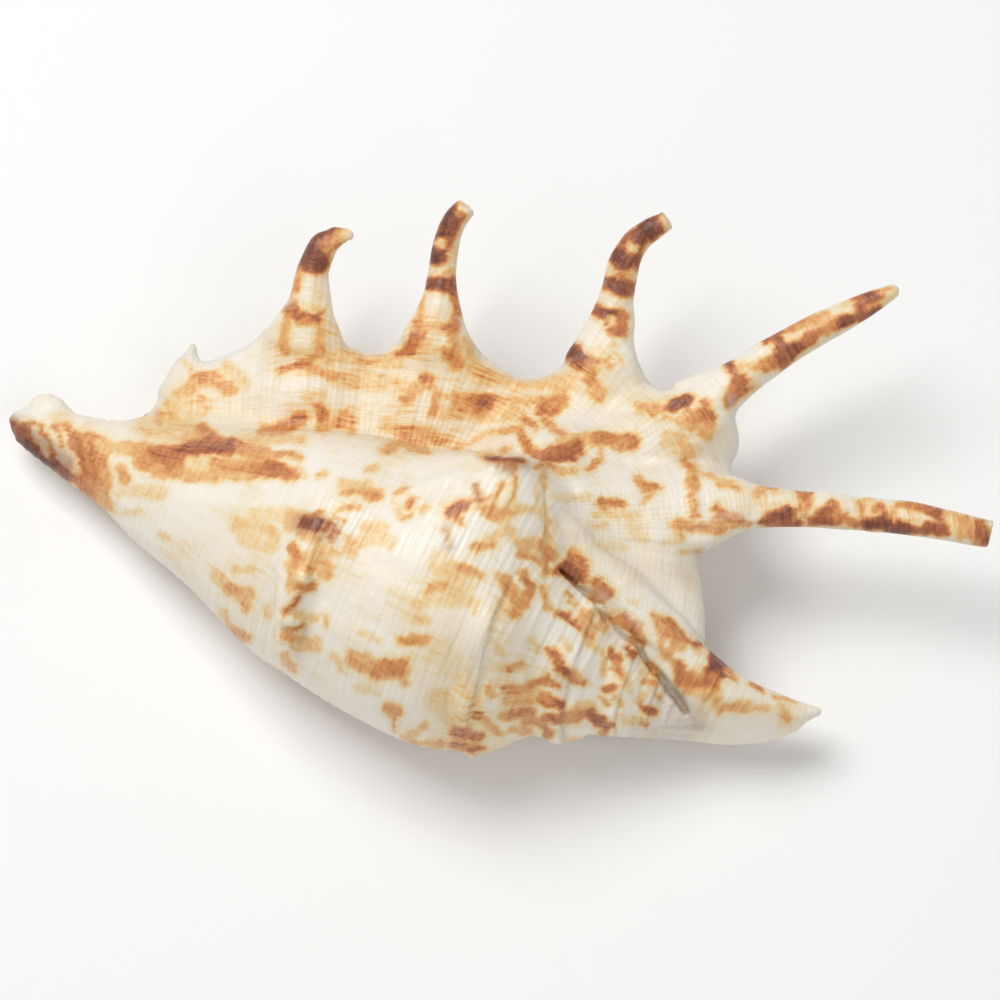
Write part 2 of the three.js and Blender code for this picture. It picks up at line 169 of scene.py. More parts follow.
# Radii that round the joints between forms, and where the joint of body and lip changes.
NOSE_JOINT = 1.8
FOLD_JOINT = 4.0
FINGER_JOINT = 1.6
SPIRE_JOINT = 0.4
LIP_JOINT = 3.4
HUMP_JOINT = 6.0
EDGE_JOINT = 2.0
LOBE_JOINT = 1.2
CREVICE_ROUND = 0.4
HOLLOW_ROUND = 0.8
MOUTH_ROUND = 1.6
BASE_ROUND = 0.4
SPIRE_ZONE = (19.0, -14.0)
ZONE_FADE = 6.0
HUMP_AT = (15.0, -17.0)
HUMP_REACH = 9.0

# The grain and what is finer than the form, in millimetres.
BODY_GIRTH = 20.0  # radius at which the way round the body is measured
GRAIN_START = math.radians(30)
OUTER_RAY_STEP = 4.0
BODY_CORD, LIP_CORD = 2.3, 3.4  # from one cord to the next
CORD_RELIEF = 0.13
RIDGE_RELIEF = 0.2
BUMP_RELIEF = 0.3
LIP_FADE = 5.0  # between the body's grain and the lip's
THREAD_SPACING = 1.25
BUMP_HEIGHT = 0.0006  # of the threads that the material raises, in metres
GLAZE_TILT, GLAZE_FADE = 0.21, 0.35  # how far a face looks down where the glaze starts
CREASE_REACH = 1.6
SEAM_LINE = 0.4  # half width of the painted shade line in a seam of the spire
# Width of the painted shade along the lip's rolled edge.
RIM_WIDTH = 2.6

# The camera, at the photograph's angle.
CAMERA_TURN, CAMERA_RISE = math.radians(26), math.radians(70)
CAMERA_AT = np.array([4.0, -8.5, 18.0])  # what it looks at
CAMERA_DISTANCE = 900.0
CAMERA_LENS = 170.5
SENSOR = 36.0
PHOTO_PIXELS = 1000

# The stage, in metres. A light is its name, place, size and power, and it aims at the origin.
LIGHTS = [("key", (-0.45, 0.1, 0.95), 0.55, 7), ("fill", (0.7, -0.4, 0.9), 0.9, 2.5)]
WORLD_LIGHT = 0.38
FLOOR = 3.0  # half its side
FLOOR_COLOUR = (0.93, 0.93, 0.92, 1)

# Colours: the outside by its tone, then what tints or covers it, with painted shade on the lip's rim and in
# creases.
TONES = [
    (0.0, "#f3ecdf"), (0.12, "#f0e3c8"), (0.28, "#efd09a"), (0.46, "#e7b273"), (0.62, "#d68d53"),
    (0.8, "#b06843"), (1.0, "#784434"),
]
GLAZE = [(0.3, "#f4e8d8"), (0.7, "#f0dccb")]
WARM = "#f4e3bf"
VIOLET = "#ab95a8"
# The grey of the painted shade on the lip's rolled edge.
RIM_SHADE = "#dedbd0"
# Painted shade: the brown-grey that darkens creases and the seams of the spire.
CREASE_SHADE = "#a08468"
NOISE_MIDDLE = 0.54
FRAY_TONE = 0.82  # how much the grain changes a mark's tone
THREAD_TONE = 0.045
# Strength of the painted shade in the seams of the spire.
SEAM_SHADE = 0.55

# The strokes' edges, in pixels, and the paler halo round the marks.
COARSE_FRAY, FINE_FRAY = 9, 4
HALO_WIDTH = 4
HALO_SHARE = 0.34  # of a mark's tone
HALO_FROM = 0.3  # the tone that a mark has to pass

# Markings, as brush strokes in order: x and y of both ends and half the width, in pixels of the photograph
# whose angle the camera repeats, and the tone: 0 ivory, 0.35 tan, 0.5 ochre, 1 dark brown.
FIRST_FINGER_MARKS = [
    (278, 372, 300, 364, 4, 0.55), (300, 364, 333, 376, 4.5, 0.55), (306, 397, 324, 394, 5, 0.3),
    (296, 352, 312, 358, 3.5, 0.5), (287, 312, 284, 350, 4.5, 0.5), (318, 322, 319, 354, 4.5, 0.5),
    (302, 328, 303, 346, 9, 0), (291, 309, 317, 312, 6, 0.68), (299, 314, 314, 319, 5, 0.78),
    (297, 323, 311, 324, 3, 0.55), (303, 264, 296, 290, 4, 0.6), (290, 291, 292, 300, 3, 0.4),
    (316, 288, 319, 296, 3.5, 0.55), (313, 276, 310, 302, 9, 0), (336, 232, 318, 246, 10, 0.92),
    (314, 250, 314, 262, 12, 0.96), (322, 244, 328, 240, 3, 0.65), (326, 250, 337, 240, 3, 0.5),
    (344, 236, 354, 239, 5, 0.04),
]
SECOND_FINGER_MARKS = [
    (425, 378, 405, 400, 6, 0.5), (423, 378, 430, 381, 4, 0.75), (430, 386, 440, 395, 4, 0.5),
    (434, 398, 431, 414, 4, 0.6), (446, 396, 492, 397, 3, 0.45), (455, 404, 488, 404, 6, 0.52),
    (478, 406, 486, 399, 4, 0.66), (466, 348, 480, 374, 8, 0.32), (400, 358, 412, 351, 3.5, 0.42),
    (420, 334, 406, 352, 5, 0.6), (444, 351, 458, 364, 6, 0.6), (452, 334, 456, 350, 4, 0.5),
    (462, 340, 472, 334, 3, 0.36), (436, 318, 452, 326, 7, 0.7), (424, 318, 430, 325, 5, 0.46),
    (421, 300, 419, 330, 4, 0.52), (428, 344, 430, 362, 7, 0), (436, 294, 437, 311, 11, 0),
    (452, 278, 458, 314, 4.5, 0.7), (430, 283, 447, 285, 7, 0.92), (431, 267, 450, 268, 6, 0.05),
    (443, 275, 452, 271, 2.5, 0.42), (446, 234, 436, 256, 10, 0.82), (441, 243, 441, 244, 3.5, 0),
    (431, 254, 436, 259, 5, 1), (447, 232, 455, 229, 3, 0.5), (458, 212, 446, 226, 9, 0.92),
    (463, 206, 458, 215, 2, 0.45), (466, 205, 475, 211, 5, 0.02),
]
THIRD_FINGER_MARKS = [
    (590, 376, 598, 396, 7, 0.45), (588, 366, 594, 377, 4.5, 0.52), (582, 363, 602, 354, 7, 0.6),
    (604, 357, 611, 367, 3.5, 0.45), (573, 350, 580, 354, 6, 0.84), (569, 358, 578, 363, 3.5, 0.7),
    (612, 340, 622, 362, 2.5, 0.34), (572, 374, 578, 390, 5, 0), (588, 330, 600, 345, 10, 0),
    (591, 307, 600, 312, 5.5, 0.85), (598, 302, 601, 306, 3, 0.7), (605, 310, 620, 314, 5, 0.78),
    (607, 320, 616, 332, 5, 0.75), (621, 315, 624, 334, 4.5, 0.72), (607, 311, 613, 312, 3, 1),
    (611, 321, 612, 321, 3, 0.12), (598, 297, 630, 302, 5.5, 0), (607, 282, 630, 290, 8, 0.84),
    (612, 286, 622, 289, 4, 1), (610, 267, 632, 268, 7, 0.04), (618, 276, 628, 275, 3, 0.5),
    (633, 242, 624, 258, 11, 0.84), (632, 249, 633, 249, 4.5, 0), (616, 254, 622, 263, 5, 1),
    (637, 258, 638, 268, 4, 0.9), (650, 232, 643, 243, 2.5, 0.5), (660, 222, 644, 233, 9, 0.94),
    (666, 219, 673, 229, 5, 0.02),
]
FOURTH_FINGER_MARKS = [
    (640, 408, 676, 405, 3.5, 0.52), (650, 413, 668, 410, 2.5, 0.42), (672, 406, 688, 400, 5.5, 0.95),
    (690, 415, 706, 419, 7.5, 0.6), (704, 402, 710, 418, 5, 0.66), (712, 424, 706, 435, 4.5, 0.56),
    (684, 425, 706, 431, 5.5, 0.5), (668, 437, 682, 442, 6, 0.4), (664, 418, 682, 422, 3.5, 0.45),
    (666, 442, 692, 450, 7, 0.28), (727, 363, 734, 371, 4.5, 0.92), (734, 370, 741, 380, 3.5, 0.72),
    (737, 380, 745, 386, 6.5, 0.84), (738, 386, 729, 401, 6.5, 0.72), (740, 366, 754, 368, 4, 0.36),
    (753, 384, 758, 392, 3, 0.32), (764, 339, 792, 327, 4, 0.84), (790, 328, 814, 317, 4, 0.62),
    (778, 338, 784, 360, 6, 0.84), (764, 366, 790, 356, 6, 0.72), (788, 354, 808, 339, 7, 0.84),
    (764, 366, 772, 364, 3.5, 0.55), (790, 338, 797, 336, 4, 0.02), (806, 340, 822, 326, 5, 0.72),
    (812, 322, 838, 312, 6, 0.46), (828, 330, 846, 318, 4.5, 0.6), (846, 301, 870, 293, 5, 0.8),
    (842, 321, 880, 312, 5, 0.95), (862, 300, 878, 296, 6, 0.86), (846, 304, 852, 306, 5, 0.12),
    (834, 308, 842, 307, 4, 0.04), (868, 308, 878, 304, 3, 0.5), (858, 305, 862, 315, 4, 0.8),
    (880, 292, 892, 291, 3, 0.6), (884, 302, 893, 294, 3, 0.05),
]
FIFTH_FINGER_MARKS = [
    (683, 460, 688, 471, 3, 0.5), (691, 470, 694, 514, 4.5, 0.52), (690, 484, 696, 486, 5, 0.6),
    (693, 515, 698, 515, 3, 0.6), (675, 523, 690, 527, 5.5, 0.54), (677, 528, 680, 538, 4, 0.5),
    (668, 543, 677, 540, 3, 0.3), (682, 551, 698, 551, 2.5, 0.38), (718, 484, 738, 487, 3.5, 0.5),
    (700, 474, 732, 483, 3, 0.36), (757, 490, 762, 500, 4, 0.48), (766, 487, 777, 490, 3, 0.6),
    (716, 508, 722, 516, 5, 0.7), (718, 517, 738, 521, 5.5, 0.64), (700, 528, 724, 528, 5, 0.55),
    (724, 527, 748, 525, 3, 0.5), (770, 500, 792, 502, 7, 0), (775, 519, 788, 514, 7, 0.92),
    (764, 522, 800, 524, 4, 0.8), (798, 488, 810, 492, 4, 0.86), (804, 494, 808, 502, 5, 0.64),
    (802, 506, 806, 516, 3.5, 0.5), (814, 522, 836, 520, 4.5, 0.86), (822, 512, 833, 508, 5, 0.82),
    (832, 503, 835, 512, 3, 0.62), (838, 518, 856, 522, 5, 0.66), (846, 503, 856, 506, 6, 0.02),
    (860, 504, 862, 514, 4, 0.42), (868, 502, 878, 506, 5, 0.3), (866, 524, 886, 520, 5, 0.86),
    (884, 522, 902, 530, 7, 0.96), (880, 508, 890, 516, 5, 0.66), (892, 508, 896, 522, 4, 0.4),
    (900, 504, 926, 508, 4, 0.66), (912, 516, 922, 524, 5, 0.3), (908, 530, 926, 532, 4, 0.86),
    (928, 508, 944, 514, 5, 0.74), (936, 514, 944, 520, 5, 0.88), (928, 526, 942, 532, 5, 0.88),
    (944, 516, 946, 532, 4, 0.84), (952, 516, 962, 534, 7, 0.34), (966, 520, 978, 540, 6, 0.46),
    (982, 524, 986, 542, 5, 0.7),
]
LAST_FINGER_MARKS = [
    (655, 618, 670, 624, 5, 0.5), (664, 626, 680, 640, 7, 0.6), (660, 630, 662, 648, 4, 0.45),
    (666, 655, 680, 647, 5.5, 0.5), (668, 620, 692, 641, 2.5, 0.7), (697, 643, 700, 650, 3.5, 0.86),
    (714, 652, 728, 668, 6, 0.9), (704, 672, 724, 672, 6, 0.9), (716, 660, 722, 668, 6, 0.95),
    (678, 668, 686, 680, 7, 0.7), (684, 681, 712, 683, 7, 0.7), (692, 674, 712, 678, 5, 0.64),
    (684, 691, 712, 690, 3.5, 0.52), (700, 655, 696, 663, 7, 0), (700, 694, 716, 700, 5, 0.34),
    (718, 708, 746, 706, 5, 0.48), (750, 708, 766, 708, 3.5, 0.4), (750, 683, 760, 690, 2.5, 0.68),
    (772, 695, 792, 701, 2, 0.5), (780, 706, 786, 720, 4, 0.34), (728, 672, 734, 678, 4, 0.52),
]
LIP_MARKS = [
    (150, 425, 186, 431, 11, 0.26), (188, 388, 202, 378, 6, 0.56), (200, 378, 216, 373, 4.5, 0.52),
    (180, 394, 192, 389, 6, 0.42), (214, 380, 234, 390, 5.5, 0.42), (228, 366, 246, 384, 6, 0.26),
    (202, 400, 206, 408, 4, 0.55), (168, 404, 174, 416, 6, 0.36), (156, 411, 160, 420, 3.5, 0.5),
    (180, 402, 198, 412, 8, 0.26), (186, 362, 190, 372, 3, 0.3), (202, 430, 212, 440, 5, 0.62),
    (184, 438, 196, 436, 5, 0.45), (264, 433, 284, 428, 6.5, 0.6), (282, 429, 300, 419, 6.5, 0.64),
    (254, 441, 302, 439, 4, 0.36), (320, 407, 324, 426, 5.5, 0.62), (324, 424, 352, 422, 5, 0.44),
    (345, 412, 350, 430, 4, 0.36), (384, 428, 432, 432, 4.5, 0.38), (384, 450, 402, 440, 4, 0.52),
    (400, 441, 444, 440, 4.5, 0.5), (404, 431, 430, 438, 4.5, 0.45), (410, 447, 424, 454, 5, 0.46),
    (480, 374, 566, 384, 8, 0.33), (440, 412, 520, 416, 7, 0.3), (496, 400, 532, 402, 6, 0.32),
    (330, 356, 398, 362, 6, 0.27), (340, 380, 400, 384, 7, 0.25), (542, 406, 562, 400, 6.5, 0.6),
    (540, 410, 556, 410, 4, 0.66), (526, 420, 536, 425, 3.5, 0.6), (546, 420, 560, 434, 5, 0.5),
    (500, 432, 518, 430, 3.5, 0.5), (456, 450, 492, 431, 3, 0.36), (560, 443, 602, 439, 5, 0.44),
    (600, 440, 632, 442, 7, 0.68), (616, 446, 630, 446, 5, 0.62), (589, 468, 600, 460, 3.5, 0.56),
    (600, 452, 602, 462, 2.5, 0.5), (638, 480, 646, 492, 5, 0.5), (645, 486, 656, 486, 4.5, 0.64),
    (645, 494, 646, 500, 3, 0.4), (602, 501, 622, 504, 4.5, 0.66), (606, 510, 611, 514, 3.5, 0.55),
    (622, 506, 630, 506, 2, 0.5), (592, 525, 606, 525, 2.5, 0.34), (630, 524, 642, 538, 5, 0.22),
    (596, 515, 640, 516, 3, 0.26), (556, 498, 586, 498, 4, 0.24), (600, 546, 622, 546, 4, 0.2),
    (568, 568, 578, 575, 8, 0.88), (556, 573, 566, 571, 4, 0.84), (572, 554, 580, 562, 5, 0.62),
    (580, 560, 584, 574, 4, 0.7), (596, 584, 606, 594, 6.5, 0.72), (592, 596, 600, 597, 4, 0.6),
    (624, 618, 634, 628, 5.5, 0.86), (608, 617, 626, 622, 4, 0.6), (638, 628, 644, 640, 4.5, 0.58),
    (612, 612, 620, 610, 3, 0.34), (630, 600, 638, 604, 3, 0.22),
]
FOLD_MARKS = [
    (126, 448, 176, 453, 7, 0.5), (142, 462, 176, 462, 8, 0.58), (158, 470, 200, 474, 7, 0.52),
    (156, 452, 214, 448, 6, 0.7), (168, 462, 190, 458, 6, 0.68), (208, 442, 244, 448, 7, 0.72),
    (212, 448, 230, 452, 5, 0.82), (240, 449, 266, 452, 5, 0.56), (186, 478, 214, 476, 5, 0.5),
    (214, 466, 258, 466, 6, 0.5), (236, 472, 262, 468, 4, 0.6), (258, 470, 292, 474, 6, 0.62),
    (270, 466, 284, 474, 6, 0.74), (250, 456, 302, 456, 3, 0.52), (278, 456, 290, 454, 3, 0.6),
    (190, 462, 202, 466, 5, 0.25), (224, 478, 250, 477, 4, 0.42), (300, 466, 306, 478, 3, 0.3),
    (318, 476, 326, 472, 3, 0.4), (366, 470, 376, 468, 4, 0.3), (120, 470, 124, 484, 6, 0.52),
    (122, 492, 160, 492, 6, 0.24), (116, 514, 138, 512, 3, 0.22),
]
CANAL_MARKS = [
    (92, 446, 98, 496, 12, 0.56), (84, 434, 86, 488, 7, 0.62), (104, 500, 108, 508, 6, 0.48),
    (74, 472, 88, 484, 7, 0.62), (100, 444, 124, 449, 6, 0.42), (60, 426, 84, 470, 9, 0.64),
    (14, 431, 66, 474, 9, 0.78), (26, 428, 60, 440, 7, 0.62), (6, 428, 20, 434, 6, 0.75),
    (22, 446, 48, 466, 5, 0.98), (33, 430, 47, 453, 2.6, 0), (47, 428, 61, 457, 2.6, 0),
    (61, 430, 70, 452, 2.2, 0.15), (66, 456, 74, 466, 6, 0.02), (74, 430, 84, 470, 2.4, 0.76),
    (88, 440, 96, 480, 2, 0.7), (34, 404, 60, 406, 13, 0), (60, 408, 88, 424, 6, 0),
]
BACK_MARKS = [
    (346, 488, 376, 494, 6.5, 0.52), (342, 484, 364, 484, 4, 0.36), (372, 496, 380, 498, 3.5, 0.6),
    (398, 494, 406, 488, 3, 0.52), (408, 505, 414, 501, 3.5, 0.62), (396, 500, 400, 512, 3, 0.3),
    (402, 518, 410, 516, 3, 0.42), (420, 513, 428, 508, 3, 0.32), (340, 507, 360, 507, 3, 0.52),
    (372, 530, 382, 528, 5, 0.34), (364, 540, 392, 542, 6, 0.28), (362, 524, 366, 530, 3, 0.4),
    (350, 540, 352, 552, 5, 0.28), (488, 460, 520, 463, 4, 0.84), (500, 466, 512, 468, 3, 0.5),
    (480, 456, 506, 449, 2.5, 0.5), (520, 434, 526, 446, 4, 0.6), (526, 446, 540, 456, 4, 0.66),
    (544, 454, 580, 448, 4.5, 0.72), (546, 458, 574, 458, 3.5, 0.8), (450, 512, 465, 505, 6.5, 0.74),
    (456, 518, 461, 524, 3, 0.6), (446, 530, 449, 544, 3.5, 0.42), (476, 486, 477, 502, 3, 0.56),
    (483, 501, 488, 496, 3, 0.6), (502, 484, 491, 508, 3, 0.5), (514, 472, 512, 500, 3, 0.52),
    (512, 500, 505, 512, 3, 0.46), (484, 511, 500, 520, 5, 0.6), (500, 514, 522, 509, 4.5, 0.52),
    (515, 505, 536, 512, 4, 0.36), (506, 524, 511, 536, 5.5, 0.34), (476, 548, 490, 544, 5, 0.52),
    (486, 538, 504, 530, 4, 0.36), (520, 545, 536, 544, 6.5, 0.42), (519, 553, 542, 562, 3, 0.6),
    (545, 544, 552, 556, 6, 0.56), (541, 560, 548, 572, 5, 0.52), (546, 534, 549, 540, 4, 0.34),
    (546, 488, 547, 536, 2.5, 0.34), (537, 488, 540, 516, 3, 0.3), (546, 463, 560, 473, 4, 0.52),
    (533, 469, 538, 466, 3, 0.58), (560, 473, 572, 472, 4, 0.36), (543, 472, 544, 486, 2.5, 0.4),
    (522, 572, 530, 586, 4.5, 0.6), (530, 586, 525, 602, 5, 0.66), (525, 602, 514, 616, 4, 0.6),
    (508, 584, 516, 600, 5, 0.56), (498, 576, 506, 588, 4.5, 0.42), (440, 562, 462, 584, 11, 0.28),
    (460, 568, 478, 574, 5, 0.48), (428, 590, 446, 587, 4.5, 0.44), (450, 600, 464, 602, 6, 0.28),
    (418, 606, 446, 598, 6, 0.2), (418, 620, 424, 620, 5, 0.3), (404, 642, 426, 640, 5, 0.52),
    (352, 660, 378, 670, 7, 0.5), (378, 674, 402, 668, 8, 0.58), (386, 662, 398, 674, 5, 0.64),
    (402, 678, 406, 684, 3, 0.52), (350, 656, 366, 656, 4, 0.4), (356, 688, 374, 692, 4, 0.24),
    (386, 708, 398, 710, 5, 0.52), (394, 712, 396, 728, 3, 0.5), (362, 632, 378, 640, 3, 0.24),
    (436, 700, 470, 735, 10, 0.2), (404, 744, 440, 742, 4, 0.5), (404, 738, 424, 726, 4, 0.4),
    (456, 732, 480, 736, 4.5, 0.66), (454, 745, 480, 748, 3.5, 0.6), (476, 690, 480, 698, 3.5, 0.46),
    (474, 716, 481, 716, 3, 0.5), (470, 706, 478, 702, 2.5, 0.4), (440, 650, 470, 690, 10, 0.14),
    (472, 612, 480, 600, 2.5, 0.3), (466, 596, 470, 602, 3, 0.34),
]
KNOB_MARKS = [
    (282, 514, 298, 514, 5, 0.46), (288, 526, 296, 520, 5, 0.44), (254, 514, 280, 514, 5, 0.24),
    (242, 526, 268, 532, 8, 0.36), (244, 538, 272, 546, 7, 0.28), (304, 523, 326, 527, 6, 0.94),
    (312, 518, 322, 514, 3, 0.62), (326, 528, 335, 532, 4, 0.7), (328, 534, 332, 540, 3, 0.56),
    (336, 516, 342, 520, 3, 0.42), (302, 534, 316, 540, 5, 0.48), (292, 544, 296, 556, 4, 0.62),
    (300, 560, 312, 566, 6.5, 0.66), (296, 564, 302, 568, 4, 0.5), (314, 556, 326, 572, 8, 0.4),
    (322, 548, 334, 552, 5, 0.36), (291, 562, 292, 588, 3.5, 0.5), (294, 582, 302, 584, 4, 0.46),
    (304, 586, 312, 586, 4.5, 0.62), (296, 598, 286, 610, 3, 0.74), (282, 622, 298, 626, 5, 0),
    (286, 630, 300, 626, 3.5, 0.66), (284, 634, 298, 646, 6, 0.48), (300, 642, 312, 646, 6, 0.42),
    (306, 620, 314, 618, 3.5, 0.36), (324, 616, 327, 624, 3.5, 0.44), (296, 612, 302, 612, 3, 0.36),
    (284, 656, 292, 670, 4.5, 0.44), (318, 640, 320, 650, 3, 0.36), (336, 656, 342, 672, 4, 0.3),
    (216, 576, 234, 592, 5, 0.3), (232, 590, 248, 594, 6, 0.48), (244, 596, 248, 608, 4, 0.42),
    (238, 570, 252, 570, 4, 0.28), (222, 612, 232, 630, 4, 0.4), (230, 630, 246, 636, 5, 0.52),
    (264, 608, 268, 614, 4, 0.24), (262, 668, 278, 674, 4, 0.4), (160, 536, 168, 538, 3, 0.24),
]
SPIRE_MARKS = [
    (541, 588, 546, 606, 3.5, 0.5), (546, 606, 560, 614, 4, 0.52), (561, 614, 568, 617, 3.5, 0.82),
    (567, 594, 571, 596, 2.5, 0.6), (569, 602, 572, 604, 2.5, 0.5), (574, 622, 580, 628, 3.5, 0.78),
    (584, 614, 590, 640, 6.5, 0.48), (588, 632, 602, 626, 5, 0.42), (596, 612, 604, 616, 4, 0.38),
    (586, 633, 592, 640, 3.5, 0.6), (551, 652, 558, 664, 5.5, 0.72), (560, 668, 568, 674, 4.5, 0.82),
    (554, 660, 562, 668, 3, 0.66), (572, 680, 584, 684, 4, 0.6), (576, 672, 582, 678, 3, 0.4),
    (548, 678, 558, 688, 3, 0.64), (542, 700, 562, 706, 4, 0.84), (541, 694, 550, 700, 3, 0.6),
    (550, 717, 558, 720, 4.5, 0.84), (544, 726, 549, 734, 4.5, 0.66), (564, 718, 590, 712, 6, 0.6),
    (576, 706, 588, 706, 4, 0.4), (590, 714, 602, 722, 4.5, 0.84), (600, 722, 604, 726, 3, 0.8),
    (605, 728, 613, 726, 3.5, 0.76), (603, 732, 606, 738, 3, 0.6), (611, 652, 620, 660, 3.5, 0.74),
    (604, 658, 604, 674, 3.5, 0.42), (616, 668, 627, 682, 4, 0.58), (607, 690, 613, 686, 4.5, 0.72),
    (600, 698, 606, 706, 2.5, 0.62), (614, 700, 622, 704, 3, 0.42), (629, 648, 634, 656, 4, 0.78),
    (627, 638, 640, 640, 3, 0.5), (646, 682, 656, 684, 3.5, 0.6), (640, 704, 645, 694, 2.5, 0.5),
    (644, 709, 653, 712, 3.5, 0.8), (649, 664, 656, 674, 4, 0.56), (638, 720, 646, 724, 2.5, 0.58),
    (655, 694, 660, 697, 2.5, 0.5), (626, 676, 630, 690, 3, 0.3), (640, 670, 646, 676, 3, 0.34),
    (592, 646, 600, 652, 3.5, 0.36), (564, 640, 572, 648, 4, 0.3), (504, 580, 520, 596, 4, 0.5),
    (510, 668, 524, 664, 3.5, 0.46), (506, 690, 530, 690, 5, 0.52), (530, 684, 548, 682, 4, 0.62),
    (508, 702, 534, 700, 5, 0.44), (504, 716, 530, 714, 5, 0.56), (524, 724, 546, 720, 4, 0.6),
    (512, 730, 530, 732, 4, 0.5), (488, 724, 500, 734, 4, 0.5), (488, 688, 494, 696, 3.5, 0.46),
    (514, 612, 520, 616, 3, 0.5), (496, 640, 500, 650, 3, 0.3), (530, 640, 538, 648, 3.5, 0.34),
    (568, 740, 600, 740, 3, 0.34), (620, 716, 634, 720, 4, 0.3), (500, 604, 506, 610, 3, 0.36),
]
# Low folds, ridges and grooves, as strokes too, with the height in millimetres last.
RELIEF_STROKES = [
    (486, 461, 546, 466, 6, 0.8), (478, 455, 522, 448, 3.5, -0.6), (522, 448, 540, 457, 3.5, -0.6),
    (540, 457, 582, 452, 4, -0.7), (500, 438, 536, 440, 5, 0.5), (548, 442, 600, 438, 8, 0.7),
    (600, 440, 632, 444, 7, 0.4), (400, 462, 470, 452, 7, 0.5), (410, 478, 470, 462, 4, -0.4),
    (395, 496, 450, 478, 5, 0.4), (318, 520, 302, 575, 9, 1.1), (302, 575, 290, 616, 7, 1.2),
    (332, 545, 324, 600, 5, -0.4), (285, 619, 296, 622, 6, 1), (284, 633, 302, 629, 3.5, -0.6),
    (546, 466, 549, 572, 2.6, -0.4), (352, 600, 345, 660, 4, 0.3), (372, 596, 366, 650, 4, 0.3),
    (334, 600, 328, 660, 3.5, 0.25), (470, 640, 460, 740, 3.5, 0.3), (452, 640, 444, 735, 3.5, -0.25),
    (440, 398, 500, 404, 3.5, 0.3), (470, 390, 560, 392, 3.5, -0.35), (480, 381, 560, 384, 3.5, 0.35),
    (620, 413, 676, 407, 3.5, -0.4), (630, 404, 676, 400, 3.5, 0.4), (330, 374, 400, 378, 3.5, 0.25),
    (330, 366, 400, 369, 3.5, -0.25), (691, 460, 694, 515, 4, 0.35), (702, 475, 706, 530, 3.5, -0.25),
    (700, 690, 780, 710, 5, 0.5), (690, 725, 760, 727, 3.5, -0.5), (640, 733, 700, 736, 3, -0.4),
    (24, 434, 44, 453, 2.6, -0.35), (40, 428, 60, 468, 2.6, -0.4), (56, 428, 72, 470, 2.6, -0.35),
    (72, 430, 88, 482, 2.6, -0.35), (88, 440, 98, 495, 2.6, -0.3), (120, 446, 300, 456, 4, 0.4),
    (140, 462, 300, 472, 4, -0.3), (556, 500, 650, 486, 3.5, 0.25), (556, 512, 660, 512, 3.5, -0.25),
    (556, 528, 660, 540, 3.5, 0.25), (720, 514, 770, 522, 4, 0.3), (640, 640, 700, 690, 5, -0.4),
    (628, 622, 700, 672, 5, 0.4), (262, 330, 290, 350, 5, 0.3), (160, 390, 230, 400, 8, 0.5),
]
# Stains and washes of a second colour, with their strength last.
VIOLET_MARKS = [
    (492, 460, 520, 464, 6, 0.8), (500, 466, 514, 468, 5, 0.7), (302, 523, 330, 530, 9, 0.6),
    (8, 430, 60, 468, 13, 0.95), (476, 486, 477, 502, 4, 0.6), (446, 528, 449, 546, 5, 0.5),
    (320, 240, 316, 260, 9, 0.3), (432, 252, 436, 260, 6, 0.5), (452, 214, 444, 228, 6, 0.5),
    (573, 350, 580, 356, 7, 0.7), (600, 310, 606, 314, 4, 0.6), (650, 226, 640, 236, 6, 0.5),
    (660, 700, 690, 716, 14, 0.35), (640, 730, 680, 732, 10, 0.25), (625, 648, 634, 656, 5, 0.5),
    (982, 524, 986, 542, 8, 0.5), (560, 660, 564, 740, 4, 0.3), (296, 598, 286, 610, 4, 0.4),
    (545, 456, 578, 452, 6, 0.35),
]
WARM_WASHES = [
    (430, 620, 470, 740, 30, 0.7), (500, 620, 520, 700, 20, 0.5), (480, 380, 600, 390, 18, 0.6),
    (560, 540, 680, 560, 20, 0.4), (150, 440, 250, 460, 16, 0.5), (700, 700, 780, 712, 12, 0.5),
    (380, 440, 480, 450, 16, 0.5), (220, 540, 260, 600, 20, 0.35), (340, 370, 400, 390, 14, 0.5),
    (150, 430, 170, 430, 10, 0.7), (180, 550, 240, 620, 14, 0.3), (290, 352, 560, 376, 24, 0.8),
    (300, 418, 470, 428, 16, 0.7), (600, 400, 700, 440, 20, 0.45), (170, 392, 240, 412, 18, 0.6),
    (320, 200, 318, 300, 10, 0.3), (450, 200, 440, 320, 12, 0.3), (650, 200, 600, 340, 12, 0.3),
    (740, 380, 890, 290, 12, 0.4), (760, 505, 990, 530, 14, 0.35), (340, 560, 420, 600, 24, 0.3),
]
MARKS = (
    LIP_MARKS + FOLD_MARKS + CANAL_MARKS + BACK_MARKS + KNOB_MARKS + SPIRE_MARKS + FIRST_FINGER_MARKS
    + SECOND_FINGER_MARKS + THIRD_FINGER_MARKS + FOURTH_FINGER_MARKS + FIFTH_FINGER_MARKS + LAST_FINGER_MARKS
)


# Curves and small helpers.


def smoothstep(t):
    t = np.clip(t, 0, 1)
    return t * t * (3 - 2 * t)


def cubic(table, samples=600):
    """A smooth curve through the rows (x, value) of a table, ready for np.interp."""
    xs, vs = np.array(table, float).T
    slopes = np.gradient(vs, xs)
    slopes[1:-1] = (vs[2:] - vs[:-2]) / (xs[2:] - xs[:-2])
    x = np.linspace(xs[0], xs[-1], samples)
    i = np.clip(np.searchsorted(xs, x) - 1, 0, len(xs) - 2)
    span = xs[i + 1] - xs[i]
    t = (x - xs[i]) / span
    value = (
        (2 * t**3 - 3 * t**2 + 1) * vs[i]
        + (t**3 - 2 * t**2 + t) * span * slopes[i]
        + (3 * t**2 - 2 * t**3) * vs[i + 1]
        + (t**3 - t**2) * span * slopes[i + 1]
    )
    return x, value


